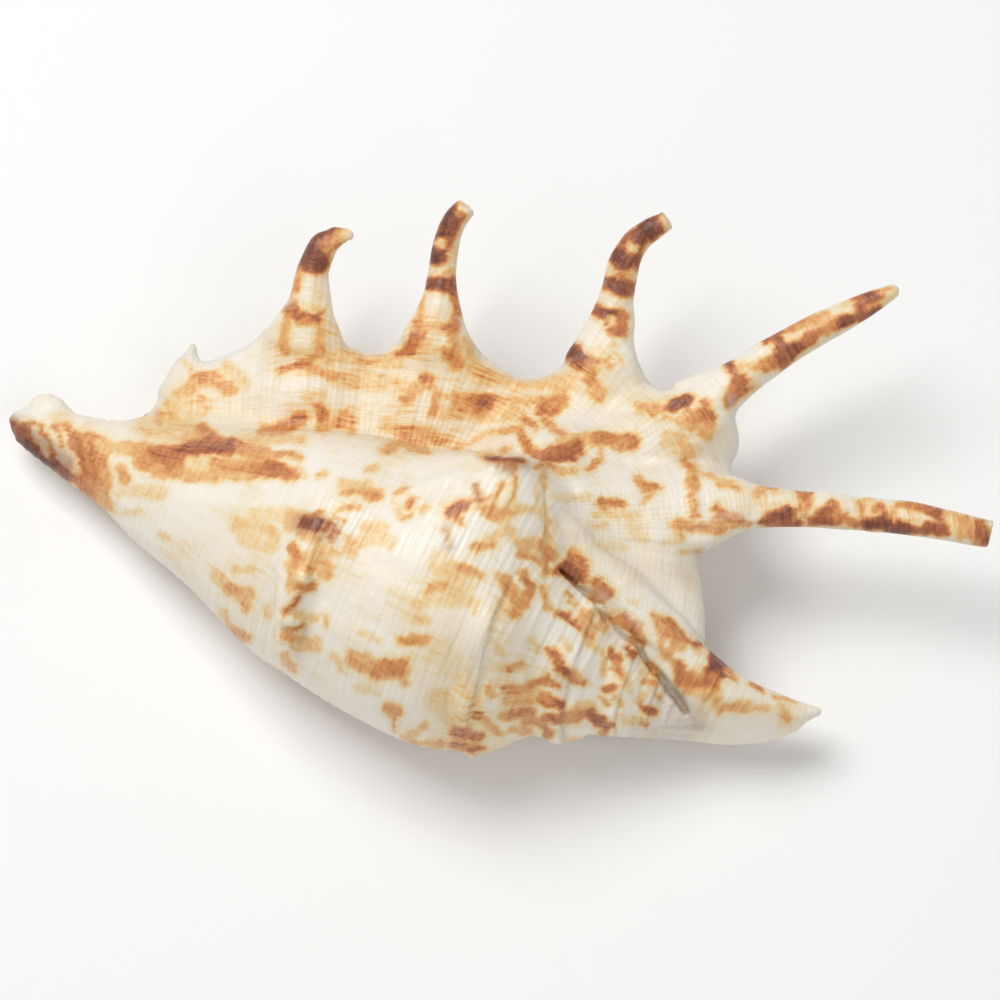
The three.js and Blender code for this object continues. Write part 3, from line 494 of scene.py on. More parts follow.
def through(rows, per_span, closed=False):
    """Points on a Catmull-Rom curve through the rows, in any number of columns."""
    rows = np.array(rows, float)
    if closed:
        padded = np.vstack([rows[-1], rows, rows[0], rows[1]])
    else:
        padded = np.vstack([2 * rows[0] - rows[1], rows, 2 * rows[-1] - rows[-2]])
    t = (np.arange(per_span) / per_span)[:, None]
    out = []
    for a, b, c, d in zip(padded, padded[1:], padded[2:], padded[3:]):
        squared = (2 * a - 5 * b + 4 * c - d) * t**2
        cubed = (3 * b - a - 3 * c + d) * t**3
        out.append(0.5 * (2 * b + (c - a) * t + squared + cubed))
    if not closed:
        out.append(rows[-1:])
    return np.vstack(out)


def smooth_min(a, b, k):
    """The lower of two fields, with their joint rounded."""
    h = np.clip(0.5 + 0.5 * (b - a) / k, 0, 1)
    return b * (1 - h) + a * h - k * h * (1 - h)


def smooth_max(a, b, k):
    return -smooth_min(-a, -b, k)


class Map2D:
    """Values over the XY plane, on a grid that is read between its points."""

    step = 0.8
    x0, y0 = -98.0, -66.0
    shape = (250, 166)

    def __init__(self, values):
        self.values = values.reshape(self.shape)

    @classmethod
    def points(cls):
        x = cls.x0 + cls.step * np.arange(cls.shape[0])
        y = cls.y0 + cls.step * np.arange(cls.shape[1])
        return np.stack(np.meshgrid(x, y, indexing="ij"), -1).reshape(-1, 2)

    def __call__(self, x, y):
        u = np.clip((x - self.x0) / self.step, 0, self.shape[0] - 1.001)
        v = np.clip((y - self.y0) / self.step, 0, self.shape[1] - 1.001)
        i, j = u.astype(int), v.astype(int)
        u, v = u - i, v - j
        g = self.values
        near = g[i, j] * (1 - u) + g[i + 1, j] * u
        far = g[i, j + 1] * (1 - u) + g[i + 1, j + 1] * u
        return near * (1 - v) + far * v


def polygon_distance(points, ring):
    """Distance to a closed ring in the plane, below zero inside it."""
    best = np.full(len(points), np.inf)
    inside = np.zeros(len(points), bool)
    for a, b in zip(ring, np.roll(ring, -1, axis=0)):
        ab = b - a
        ap = points - a
        t = np.clip(ap @ ab / (ab @ ab), 0, 1)
        best = np.minimum(best, ((ap - t[:, None] * ab) ** 2).sum(1))
        crosses = (a[1] > points[:, 1]) != (b[1] > points[:, 1])
        if a[1] != b[1]:
            at = a[0] + (points[:, 1] - a[1]) * ab[0] / ab[1]
            inside ^= crosses & (points[:, 0] < at)
    return np.where(inside, -1, 1) * np.sqrt(best)


# The form, as a field that is below zero inside the shell.

axis_height = cubic(AXIS_HEIGHT)
body_profile = cubic(BODY_RADIUS)
body_slope = (body_profile[0], np.gradient(body_profile[1], body_profile[0]))


def round_axis(p):
    """Distance from the axis and angle round it: 0 below, a half turn on the back."""
    dy = p[:, 1] - AXIS_Y
    dz = p[:, 2] - np.interp(p[:, 0], *axis_height)
    return np.hypot(dy, dz), np.arctan2(-dy, -dz) % (2 * np.pi)


def whorl_number(x, angle):
    """How many whorls a place on the spire is past the first seam, and its distance to the apex."""
    from_apex = np.maximum(APEX_X - x, 0.01)
    seam = LAST_SEAM * WHORL_SHARE ** (0.25 - angle / (2 * np.pi))
    return np.log(seam / from_apex) / math.log(1 / WHORL_SHARE), from_apex


def on_spire(whorl, angle):
    """One on the spire, zero on the last whorl. The lip covers half of the first seam."""
    uncovered = 1 - smoothstep((angle / (2 * np.pi) - COVERED_FROM) / COVER_FADE)
    first = smoothstep(whorl / SEAM_FADE + 1)
    second = smoothstep((whorl - 1) / SEAM_FADE + 1)
    return np.maximum(first * uncovered, second)


def body_radius(x, angle):
    underside = (1 - UNDERSIDE_SHARE) * ((1 + np.cos(angle)) / 2) ** 4
    lip_side = (1 - LIP_SIDE_SHARE) * np.maximum(0, -np.sin(angle)) ** 2
    whorl, from_apex = whorl_number(x, angle)
    knobs = KNOB_SWELL * np.cos(WHORL_KNOBS * angle) * np.cos(np.pi * whorl) ** 2
    past_seam = whorl % 1
    step = SEAM_STEP * np.exp(-past_seam / SEAM_STEP_LENGTH) * smoothstep(past_seam / SEAM_EDGE)
    swell = on_spire(whorl, angle) * from_apex * (WHORL_SWELL * np.cos(2 * np.pi * whorl) + knobs - step)
    for at, turn, height, long, wide in SWELLINGS:
        away = ((x - at) / long) ** 2 + ((angle - math.radians(turn)) / math.radians(wide)) ** 2
        swell = swell + height * np.exp(-away / 2)
    return np.maximum(0, np.interp(x, *body_profile) * (1 - underside - lip_side) + swell)


def body_field(p):
    x = p[:, 0]
    r, angle = round_axis(p)
    slope = np.interp(x, *body_slope)
    side = (r - body_radius(x, angle)) / np.sqrt(1 + slope**2)
    return np.maximum(side, np.maximum(CANAL_X - x, x - APEX_X))


def ridge_top(points, rows):
    """Height of the ridge that a finger makes on the lip: a parabola across its line."""
    best = np.full(len(points), -np.inf)
    rows = np.array(rows, float)
    for a, b in zip(rows, rows[1:]):
        ab = b[:2] - a[:2]
        t = np.clip((points - a[:2]) @ ab / (ab @ ab), 0, 1)[:, None]
        row = a + (b - a) * t
        away = np.hypot(*(points - row[:, :2]).T) / row[:, 3]
        best = np.maximum(best, row[:, 2] + row[:, 4] * (1 - away**2))
    return best


def lip_maps():
    """The lip's top face, the cosine of its slope, and the distance to its outline, over the plane."""
    points = Map2D.points()
    x, y = points.T
    sheet = LIP_HEIGHT + LIP_RISE * (y - LIP_RISE_Y) - LIP_DROP * np.maximum(0, LIP_DROP_X - x)
    dx = x - SHOULDER_AT[0]
    reach = np.hypot(np.where(dx > 0, dx, dx * SHOULDER_STEEP), y - SHOULDER_AT[1])
    top = smooth_max(sheet, SHOULDER_TOP - SHOULDER_SLOPE * reach, 2 * RIDGE_BLEND)
    for rows in FINGERS:
        top = smooth_max(top, ridge_top(points, rows), RIDGE_BLEND)
    edge = polygon_distance(points, through(LIP_OUTLINE, 5, closed=True))
    top = top - LIP_ROLL * smoothstep(edge / LIP_ROLL_WIDTH + 1)
    gx, gy = np.gradient(top.reshape(Map2D.shape), Map2D.step)
    return Map2D(top), Map2D(1 / np.sqrt(1 + gx**2 + gy**2)), Map2D(edge)


lip_top, lip_cosine, lip_edge = lip_maps()


def lip_field(p):
    x, y, z = p.T
    half = LIP_THICKNESS / 2
    up = np.abs(z - lip_top(x, y) + half) * lip_cosine(x, y) - half + LIP_EDGE
    out = lip_edge(x, y) + LIP_EDGE
    return np.minimum(np.maximum(up, out), 0) + np.hypot(np.maximum(up, 0), np.maximum(out, 0)) - LIP_EDGE


class Tube:
    """A tube through rows of x, y, z, half width and half height, cut flat or rounded at its far end."""

    far = 40.0  # the field's value well away from the tube
    margin = 4.0

    def __init__(self, rows, cut=False):
        self.rows = through(rows, 5)
        self.cut = cut
        size = self.rows[:, 3:].max() + self.margin
        self.low = self.rows[:, :3].min(0) - size
        self.high = self.rows[:, :3].max(0) + size

    def __call__(self, p):
        out = np.full(len(p), self.far)
        near = np.flatnonzero(((p > self.low) & (p < self.high)).all(1))
        if not len(near):
            return out
        q = p[near]
        nearest = np.full(len(q), np.inf)
        field = np.full(len(q), self.far)
        for k in range(len(self.rows) - 1):
            distance, value = self.stretch(q, k)
            better = distance < nearest
            nearest = np.where(better, distance, nearest)
            field = np.where(better, value, field)
        out[near] = field
        return out

    def stretch(self, p, k):
        """Squared distance to the line between two rows, and the field of the tube round it."""
        a, b = self.rows[k], self.rows[k + 1]
        ab = b[:3] - a[:3]
        length = np.linalg.norm(ab)
        along = (p - a[:3]) @ ab / length**2
        row = a + (b - a) * np.clip(along, 0, 1)[:, None]
        away = p - row[:, :3]
        side = np.array([-ab[1], ab[0], 0]) / np.hypot(ab[0], ab[1])
        up = np.cross(ab / length, side)
        half = row[:, 3:].min(1)
        across = (away @ side / row[:, 3]) ** 2 + (away @ up / row[:, 4]) ** 2
        if self.cut and k == len(self.rows) - 2:
            value = np.maximum((np.sqrt(across) - 1) * half, (along - 1) * length)
        else:
            value = (np.sqrt(across + (away @ (ab / length) / half) ** 2) - 1) * half
        return (away**2).sum(1), value


def finger_tube(n, rows):
    root = 0 if n == SPIRE_FINGER else FINGER_ROOT
    return Tube(rows[root:], cut=n in BLUNT_FINGERS)


nose = Tube(NOSE_KNOB)
fold = Tube(FOLD)
spire_edge = Tube(SPIRE_EDGE)
canal_lobe = Tube(CANAL_LOBE)
mouth = Tube(MOUTH)
crevice = Tube(CREVICE)
fingers = [finger_tube(n, rows) for n, rows in enumerate(FINGERS)]


def hollow_field(p):
    """The chamber, a C round the pillar inside the last whorl, narrowing to both ends."""
    x = p[:, 0]
    r, angle = round_axis(p)
    outer = body_radius(x, angle) - WALL
    pillar = PILLAR_SHARE * body_radius(x, np.full(len(x), np.pi))
    share = np.clip((x - HOLLOW_X[0]) / (HOLLOW_X[1] - HOLLOW_X[0]), 0, 1)
    full = np.sqrt(np.sin(np.pi * share) + 1e-9)
    turn = math.radians(sum(HOLLOW_TURN) / 2)
    spread = math.radians(HOLLOW_TURN[1] - HOLLOW_TURN[0]) / 2 * full
    ring = np.abs(r - (outer + pillar) / 2) - (outer - pillar) / 2 * full
    sector = (np.abs(angle - turn) - spread) * np.maximum(r, HOLLOW_CORE)
    ends = np.maximum(x - HOLLOW_X[0], HOLLOW_X[1] - x)
    return smooth_max(smooth_max(ring, sector, HOLLOW_JOINT), ends, 1)


def coiled_field(p):
    return smooth_min(body_field(p), nose(p), NOSE_JOINT)


def flared_field(p):
    flare = smooth_min(lip_field(p), fold(p), FOLD_JOINT)
    for finger in fingers:
        flare = smooth_min(flare, finger(p), FINGER_JOINT)
    return flare


def lip_joint(x, y):
    """Radius of the joint of body and lip: wide by the hump, narrow where the lip lies on the spire."""
    over_spire = smoothstep((x - SPIRE_ZONE[0]) / ZONE_FADE) * smoothstep((SPIRE_ZONE[1] - y) / ZONE_FADE)
    by_hump = np.exp(-(((x - HUMP_AT[0]) / HUMP_REACH) ** 2) - ((y - HUMP_AT[1]) / HUMP_REACH) ** 2)
    return SPIRE_JOINT + (LIP_JOINT + HUMP_JOINT * by_hump) * (1 - over_spire)


def shell_field(p):
    x, y, z = p.T
    whole = smooth_min(coiled_field(p), flared_field(p), lip_joint(x, y))
    whole = smooth_max(whole, -crevice(p), CREVICE_ROUND)
    whole = smooth_min(whole, spire_edge(p), EDGE_JOINT)
    whole = smooth_min(whole, canal_lobe(p), LOBE_JOINT)
    whole = smooth_max(whole, -hollow_field(p), HOLLOW_ROUND)
    whole = smooth_max(whole, -mouth(p), MOUTH_ROUND)
    return smooth_max(whole, -z, BASE_ROUND)


# The surface.

CORNERS = [(a, b, c) for a in (0, 1) for b in (0, 1) for c in (0, 1)]


def spread_coarse(axes, stride):
    """The field on every few points of a grid, repeated over the points between them."""
    coarse_axes = [a[::stride] for a in axes]
    values = shell_field(np.stack(np.meshgrid(*coarse_axes, indexing="ij"), -1).reshape(-1, 3))
    values = values.reshape([len(a) for a in coarse_axes]).astype(np.float32)
    for k in range(3):
        values = np.repeat(values, stride, axis=k)
    return values[tuple(slice(0, len(a)) for a in axes)]


def sample_grid(low, high, step, stride=4):
    """The field on a grid. Points far from the surface keep the value of a coarse grid."""
    axes = [np.arange(a, b + step, step) for a, b in zip(low, high)]
    values = spread_coarse(axes, stride)
    close = np.abs(values) < 2.4 * stride * step
    for i in range(len(axes[0])):
        j, k = np.nonzero(close[i])
        if len(j):
            points = np.stack([np.full(len(j), axes[0][i]), axes[1][j], axes[2][k]], -1)
            values[i, j, k] = shell_field(points)
    return values


def cell_points(values, cells, low, step):
    """The middle of the places where the surface crosses the edges of each cell."""
    total, crossed = np.zeros((len(cells), 3)), np.zeros(len(cells))
    for corner in CORNERS:
        for axis in np.flatnonzero(np.array(corner) == 0):
            along = np.eye(3, dtype=int)[axis]
            start = cells + corner
            fa = values[tuple(start.T)]
            fb = values[tuple((start + along).T)]
            hit = (fa < 0) != (fb < 0)
            t = np.where(hit, fa / np.where(hit, fa - fb, 1), 0)
            total += np.where(hit[:, None], start + t[:, None] * along, 0)
            crossed += hit
    return np.array(low) + step * total / crossed[:, None]


def axis_quads(inside, index, axis):
    """The quads round the grid's edges along one axis that the surface crosses, facing outwards."""
    u, v = [k for k in range(3) if k != axis]
    edges = np.argwhere(np.diff(inside, axis=axis))
    last = np.array(inside.shape) - 1
    kept = (edges[:, u] > 0) & (edges[:, v] > 0) & (edges[:, u] < last[u]) & (edges[:, v] < last[v])
    edges = edges[kept]
    around = []
    for du, dv in ((-1, -1), (0, -1), (0, 0), (-1, 0)):
        cell = edges.copy()
        cell[:, u] += du
        cell[:, v] += dv
        around.append(index[tuple(cell.T)])
    quads = np.stack(around, 1)
    flip = inside[tuple(edges.T)] == (axis == 1)
    quads[flip] = quads[flip][:, ::-1]
    return quads


def surface_nets(values, low, step):
    """Points and quads of the zero level: one point in each cell that the surface crosses."""
    inside = values < 0
    size = np.array(values.shape) - 1
    windows = [tuple(slice(c, c + n) for c, n in zip(corner, size)) for corner in CORNERS]
    count = sum(inside[window].astype(np.int8) for window in windows)
    cells = np.argwhere((count > 0) & (count < len(CORNERS)))
    index = np.full(size, -1)
    index[tuple(cells.T)] = np.arange(len(cells))
    quads = [axis_quads(inside, index, axis) for axis in range(3)]
    return cell_points(values, cells, low, step), np.vstack(quads)


def gradient(field, p, reach=0.25):
    out = np.empty_like(p)
    for k in range(3):
        step = np.zeros(3)
        step[k] = reach
        out[:, k] = (field(p + step) - field(p - step)) / (2 * reach)
    return out


def pull_to_surface(p, rounds=3, longest=0.5):
    """Points moved along the field's slope until they lie on its zero level."""
    slope = gradient(shell_field, p)
    size = (slope**2).sum(1) + 1e-6
    for _ in range(rounds):
        move = np.clip(shell_field(p) / size, -longest, longest)
        p = p - move[:, None] * slope
    return p


# The grain: where each point lies across the threads and along them.


def body_grain(p):
    """Across the threads of the body and round it. The round starts inside the mouth."""
    angle = (round_axis(p)[1] + GRAIN_START) % (2 * np.pi)
    return np.stack([p[:, 0], BODY_GIRTH * angle, 0 * angle], -1)


def lip_grain_maps():
    """Across the threads of the lip and out along them, over the plane."""
    rays = through(LIP_RAYS, 4)
    starts, ways = rays[:, :2], rays[:, 2:] - rays[:, :2]
    middles = starts + ways / 2
    across = np.concatenate([[0], np.cumsum(np.linalg.norm(np.diff(middles, axis=0), axis=1))])
    ways = ways / np.linalg.norm(ways, axis=1, keepdims=True)
    points = Map2D.points()
    sides = np.stack([(points - s) @ (w[1], -w[0]) for s, w in zip(starts, ways)])
    crossed = (sides[:-1] > 0) & (sides[1:] <= 0)
    between = crossed.any(0)
    first = np.where(between, crossed.argmax(0), np.where(sides[-1] > 0, len(rays) - 2, 0))
    each = np.arange(len(points))
    left, right = sides[first, each], sides[first + 1, each]
    share = np.clip(left / np.where(between, left - right, OUTER_RAY_STEP), -6, 6)
    thread = across[first] + share * (across[first + 1] - across[first])
    share = np.clip(share, 0, 1)[:, None]
    start = starts[first] * (1 - share) + starts[first + 1] * share
    return Map2D(thread), Map2D(np.linalg.norm(points - start, axis=1))


def lip_grain(p):
    x, y = p[:, :2].T
    thread, growth = lip_grain_maps()
    return np.stack([thread(x, y), growth(x, y), 0 * x], -1)


class Noise2D:
    """Smooth noise over the plane, from minus one to one, the same on each run."""

    size = 64

    def __init__(self, seed):
        self.values = np.random.default_rng(seed).uniform(-1, 1, (self.size, self.size))

    def __call__(self, x, y):
        i, j = np.floor(x).astype(int), np.floor(y).astype(int)
        u, v = smoothstep(x - i), smoothstep(y - j)
        grid, n = self.values, self.size
        near = grid[i % n, j % n] * (1 - u) + grid[(i + 1) % n, j % n] * u
        far = grid[i % n, (j + 1) % n] * (1 - u) + grid[(i + 1) % n, (j + 1) % n] * u
        return near * (1 - v) + far * v


points, quads = surface_nets(sample_grid(LOW, HIGH, STEP), LOW, STEP)
points = pull_to_surface(points)
normals = gradient(shell_field, points)
normals /= np.linalg.norm(normals, axis=1, keepdims=True) + 1e-9
grain_on_body = body_grain(points)
grain_on_lip = lip_grain(points)


def glazed_share():
    """One on the smooth side that the animal lined: underneath, in the hollow and in the mouth."""
    underneath = smoothstep((-normals[:, 2] - GLAZE_TILT) / GLAZE_FADE)
    to_opening = np.minimum(np.abs(hollow_field(points)), np.abs(mouth(points)))
    return np.maximum(underneath, 1 - smoothstep((to_opening - 0.4) / 0.6))


def crease_shade_share():
    """Painted shade in creases: how much of the space just over each point is filled by what stands beside
    it.
    """
    return np.clip(1 - shell_field(points + CREASE_REACH * normals) / CREASE_REACH, 0, 1)


on_lip = smoothstep(0.5 + (coiled_field(points) - flared_field(points)) / LIP_FADE)
glazed = glazed_share()

# The markings and the relief.

FORWARD = np.array(
    [
        -math.sin(CAMERA_TURN) * math.cos(CAMERA_RISE),
        math.cos(CAMERA_TURN) * math.cos(CAMERA_RISE),
        -math.sin(CAMERA_RISE),
    ]
)
RIGHT = np.array([math.cos(CAMERA_TURN), math.sin(CAMERA_TURN), 0])
UP = np.cross(RIGHT, FORWARD)


def in_photo(p):
    """Where points lie in the photograph, in pixels."""
    away = p - CAMERA_AT
    scale = CAMERA_LENS / SENSOR * PHOTO_PIXELS / (CAMERA_DISTANCE + away @ FORWARD)
    return PHOTO_PIXELS / 2 + (away @ RIGHT) * scale, PHOTO_PIXELS / 2 - (away @ UP) * scale


def stroke_reach(px, py, stroke, margin):
    """The points near a stroke and how far they lie from its line, in pixels."""
    x0, y0, x1, y1, half = stroke[:5]
    reach = half + margin
    beside = (px > min(x0, x1) - reach) & (px < max(x0, x1) + reach)
    near = np.flatnonzero(beside & (py > min(y0, y1) - reach) & (py < max(y0, y1) + reach))
    dx, dy = x1 - x0, y1 - y0
    t = np.clip(((px[near] - x0) * dx + (py[near] - y0) * dy) / (dx * dx + dy * dy + 1e-6), 0, 1)
    return near, np.hypot(px[near] - x0 - t * dx, py[near] - y0 - t * dy)


def pressed(strokes):
    """The height that relief strokes add to each point, rounded across."""
    px, py = in_photo(points)
    height = np.zeros(len(points))
    for stroke in strokes:
        half, rise = stroke[4:]
        near, away = stroke_reach(px, py, stroke, half)
        height[near] += rise * np.exp(-((away / half) ** 2))
    return height


def frayed(px, py):
    """Pixels moved by a coarse and a fine noise, which frays the edges of the strokes."""
    noise = Noise2D(11)
    coarse_x, coarse_y = px / COARSE_FRAY, py / COARSE_FRAY
    fine_x, fine_y = px / FINE_FRAY, py / FINE_FRAY
    return (
        px + 2.6 * noise(coarse_x, coarse_y) + 1.4 * noise(fine_x, fine_y),
        py + 2.2 * noise(coarse_x + 20, coarse_y + 9) + 1.2 * noise(fine_x + 20, fine_y + 9),
    )


def paint(strokes, soft=1.8):
    """The tone that strokes leave on each point, each over the ones before it."""
    px, py = frayed(*in_photo(points))
    tone, halo = np.zeros(len(points)), np.zeros(len(points))
    for stroke in strokes:
        half, shade = stroke[4:]
        near, away = stroke_reach(px, py, stroke, HALO_WIDTH + 2 * soft + half / 2)
        cover = 1 - smoothstep((away - half + soft) / (2 * soft + 0.45 * half))
        tone[near] = tone[near] * (1 - cover) + shade * cover
        if shade > HALO_FROM:
            spread = 1 - smoothstep((away - half + 1) / (HALO_WIDTH + half))
            halo[near] = np.maximum(halo[near], HALO_SHARE * shade * spread)
    return np.maximum(tone, halo)


def seam_shade_share():
    """Painted shade in the seams of the spire: one on them, falling off within half a millimetre."""
    r, angle = round_axis(points)
    whorl, from_apex = whorl_number(points[:, 0], angle)
    away = from_apex * math.log(1 / WHORL_SHARE) * np.minimum(whorl % 1, 1 - whorl % 1)
    of_body = 1 - smoothstep((np.abs(body_field(points)) - 0.6) / 1.0)
    return of_body * on_spire(whorl, angle) * np.exp(-((away / SEAM_LINE) ** 2)) * (from_apex > 2)


def rim_shade_share():
    """Painted shade on the rolled edge of the lip: one on the edge, zero a few millimetres in from it."""
    x, y = points[:, :2].T
    of_lip = 1 - smoothstep((np.abs(lip_field(points)) - 0.5) / 1.0)
    return of_lip * smoothstep((lip_edge(x, y) + RIM_WIDTH) / 2.2)


def grain_relief(grain, cord, cords, ridges, bumps):
    """Height of cords, growth ridges and unevenness in one grain, in millimetres."""
    across, along = grain[:, 0], grain[:, 1]
    strength = 0.6 + 0.4 * bumps(across / 17, along / 21)
    return strength * (
        CORD_RELIEF * np.sin(2 * np.pi * (across / cord + 0.3 * cords(across / 9, along / 26)))
        + RIDGE_RELIEF * ridges(across / 22, along / 2.6)
        + BUMP_RELIEF * bumps(across / 8, along / 8)
    )


def relief():
    """Height of everything finer than the form itself. The glazed side and the foot stay smooth."""
    noises = Noise2D(3), Noise2D(5), Noise2D(8)
    body = grain_relief(grain_on_body, BODY_CORD, *noises)
    lip = grain_relief(grain_on_lip, LIP_CORD, *noises)
    height = (1 - on_lip) * body + on_lip * lip + pressed(RELIEF_STROKES)
    return height * (1 - glazed) * smoothstep((points[:, 2] - 0.5) / 3)


attributes = {
    "tone": paint(MARKS) * (1 - glazed),
    "violet": paint(VIOLET_MARKS, 3) * (1 - glazed),
    "warm": paint(WARM_WASHES, 14),
    "on_lip": on_lip,
    "glazed": glazed,
    # rim_shade holds painted shade on the lip's rolled edge.
    "rim_shade": rim_shade_share() * (1 - glazed),
    # crease_shade holds painted shade, in creases and in the seams of the spire.
    "crease_shade": np.maximum(crease_shade_share(), SEAM_SHADE * seam_shade_share() * (1 - on_lip)),
}
points = points + relief()[:, None] * normals


def build_mesh(name, place, faces):
    mesh = bpy.data.meshes.new(name)
    mesh.vertices.add(len(place))
    mesh.vertices.foreach_set("co", ((place + SHIFT) * MM).astype(np.float32).ravel())
    mesh.loops.add(faces.size)
    mesh.loops.foreach_set("vertex_index", faces.astype(np.int32).ravel())
    mesh.polygons.add(len(faces))
    mesh.polygons.foreach_set("loop_start", np.arange(0, faces.size, 4, dtype=np.int32))
    mesh.polygons.foreach_set("use_smooth", np.ones(len(faces), bool))
    mesh.update(calc_edges=True)
    mesh.validate()
    for kind, values in attributes.items():
        mesh.attributes.new(kind, "FLOAT", "POINT").data.foreach_set("value", values.astype(np.float32))
    for kind, vectors in (("body_grain", grain_on_body), ("lip_grain", grain_on_lip)):
        layer = mesh.attributes.new(kind, "FLOAT_VECTOR", "POINT")
        layer.data.foreach_set("vector", vectors.astype(np.float32).ravel())
    thing = bpy.data.objects.new(name, mesh)
    bpy.context.scene.collection.objects.link(thing)
    return thing


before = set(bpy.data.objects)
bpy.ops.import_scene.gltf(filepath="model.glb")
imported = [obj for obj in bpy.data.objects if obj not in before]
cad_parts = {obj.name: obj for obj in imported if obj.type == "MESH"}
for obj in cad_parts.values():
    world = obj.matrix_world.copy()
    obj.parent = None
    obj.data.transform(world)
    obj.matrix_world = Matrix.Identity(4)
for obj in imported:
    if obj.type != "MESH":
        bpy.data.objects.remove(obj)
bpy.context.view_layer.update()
shell = build_mesh("shell_surface", points, quads)
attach(shell, "root")
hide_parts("shell")

# The materials.


class Nodes:
    """Short ways to add and join shader nodes."""

    def __init__(self, tree):
        self.tree = tree

    def add(self, kind, **settings):
        node = self.tree.nodes.new(kind)
        for name, value in settings.items():
            setattr(node, name, value)
        return node

    def feed(self, socket, value):
        if isinstance(value, bpy.types.NodeSocket):
            self.tree.links.new(value, socket)
        else:
            socket.default_value = value

    def attribute(self, name, output="Fac"):
        return self.add("ShaderNodeAttribute", attribute_name=name).outputs[output]

    def math(self, operation, *values):
        node = self.add("ShaderNodeMath", operation=operation)
        for socket, value in zip(node.inputs, values):
            self.feed(socket, value)
        return node.outputs[0]

    def times(self, first, second):
        return self.math("MULTIPLY", first, second)

    def step(self, value, low, high):
        """Rises smoothly from zero at one value to one at the other."""
        node = self.add("ShaderNodeMapRange", interpolation_type="SMOOTHSTEP")
        for name, given in (("Value", value), ("From Min", low), ("From Max", high)):
            self.feed(node.inputs[name], given)
        return node.outputs["Result"]

    def noise(self, vector, scale, detail, roughness):
        mapping = self.add("ShaderNodeMapping")
        self.feed(mapping.inputs["Vector"], vector)
        mapping.inputs["Scale"].default_value = scale
        node = self.add("ShaderNodeTexNoise")
        self.feed(node.inputs["Vector"], mapping.outputs["Vector"])
        node.inputs["Scale"].default_value = 1
        node.inputs["Detail"].default_value = detail
        node.inputs["Roughness"].default_value = roughness
        return node.outputs["Fac"]

    def lines(self, vector, spacing, wander):
        """Even threads across a grain, from zero to one, that wander by a noise."""
        across = self.add("ShaderNodeSeparateXYZ")
        self.feed(across.inputs[0], vector)
        turns = self.math("MULTIPLY_ADD", across.outputs["X"], 1 / spacing, wander)
        wave = self.math("SINE", self.times(turns, 2 * math.pi))
        return self.math("MULTIPLY_ADD", wave, 0.5, 0.5)

    def mixed(self, share, first, second, **kind):
        node = self.add("ShaderNodeMix", **kind)
        sockets = [s for s in node.inputs if s.enabled]
        for socket, value in zip(sockets, (share, first, second)):
            self.feed(socket, value)
        return next(s for s in node.outputs if s.enabled)

    def blend(self, share, first, second):
        """The second number by its share, the first by the rest."""
        return self.mixed(share, first, second, data_type="FLOAT")

    def cover(self, share, colour, second):
        """The second colour by its share, the first by the rest."""
        return self.mixed(share, colour, second, data_type="RGBA")

    def tint(self, share, colour, by):
        """A colour multiplied by another, by a share."""
        return self.mixed(share, colour, linear(by), data_type="RGBA", blend_type="MULTIPLY")

    def ramp(self, value, stops):
        node = self.add("ShaderNodeValToRGB")
        elements = node.color_ramp.elements
        while len(elements) < len(stops):
            elements.new(0.5)
        for element, (place, colour) in zip(elements, stops):
            element.position = place
            element.color = linear(colour)
        self.feed(node.inputs["Fac"], value)
        return node.outputs["Color"]


def linear(colour):
    """The linear colour of a screen colour in hexadecimal."""
    values = [int(colour[k : k + 2], 16) / 255 for k in (1, 3, 5)]
    return tuple(((v + 0.055) / 1.055) ** 2.4 if v > 0.04 else v / 12.92 for v in values) + (1,)


class Grain:
    """The noises and threads that colour and relief share, in the grain of the body and of the lip."""

    def __init__(self, n):
        self.n = n
        self.on_lip = n.attribute("on_lip")
        self.threads = self.noise((1.1, 0.16, 1))
        self.growth = self.noise((0.2, 1.3, 1))
        self.fine = self.noise((0.9, 0.7, 1), detail=5.0, roughness=0.7)
        self.broad = self.noise((0.12, 0.12, 1), detail=2.0)
        self.lines = self.each(lambda grain: n.lines(grain, THREAD_SPACING, self.broad))

    def each(self, make):
        """What is made in the body's grain and in the lip's, each where it belongs."""
        body, lip = (make(self.n.attribute(kind, "Vector")) for kind in ("body_grain", "lip_grain"))
        return self.n.blend(self.on_lip, body, lip)

    def noise(self, scale, detail=3.0, roughness=0.6):
        return self.each(lambda grain: self.n.noise(grain, scale, detail, roughness))


def frayed_tone(n, grain):
    """The painted tone, frayed along the grain."""
    tone = n.attribute("tone")
    fine_share = n.math("MULTIPLY_ADD", grain.on_lip, 0.32, 0.58)
    ragged = n.math("SUBTRACT", n.blend(fine_share, grain.threads, grain.fine), NOISE_MIDDLE)
    marked = n.step(tone, 0.02, 0.3)
    return n.math("ADD", tone, n.times(ragged, n.times(marked, FRAY_TONE)))


def faint_tone(n, grain):
    """The faint streaks and threads between the marks, stronger in the warm washes."""
    washed = n.math("MULTIPLY_ADD", n.attribute("warm"), 0.3, 0.1)
    streaks = n.times(n.step(n.blend(0.5, grain.growth, grain.broad), 0.47, 0.66), washed)
    threads = n.times(grain.lines, n.step(grain.broad, 0.42, 0.6))
    return n.math("MULTIPLY_ADD", threads, THREAD_TONE, streaks)


def shell_colour(n, grain, outside, glazed):
    tone = n.math("ADD", frayed_tone(n, grain), n.times(faint_tone(n, grain), outside))
    colour = n.ramp(tone, TONES)
    colour = n.tint(n.times(n.attribute("warm"), 0.7), colour, WARM)
    colour = n.tint(n.times(n.attribute("violet"), 0.75), colour, VIOLET)
    # Painted shade: the lip's rolled edge is greyed.
    colour = n.cover(n.times(n.attribute("rim_shade"), 0.6), colour, linear(RIM_SHADE))
    colour = n.cover(glazed, colour, n.ramp(grain.broad, GLAZE))
    # Painted shade: creases and seams are darkened towards a brown-grey.
    shade = n.times(n.step(n.attribute("crease_shade"), 0.25, 0.9), 0.65)
    return n.tint(shade, colour, CREASE_SHADE)


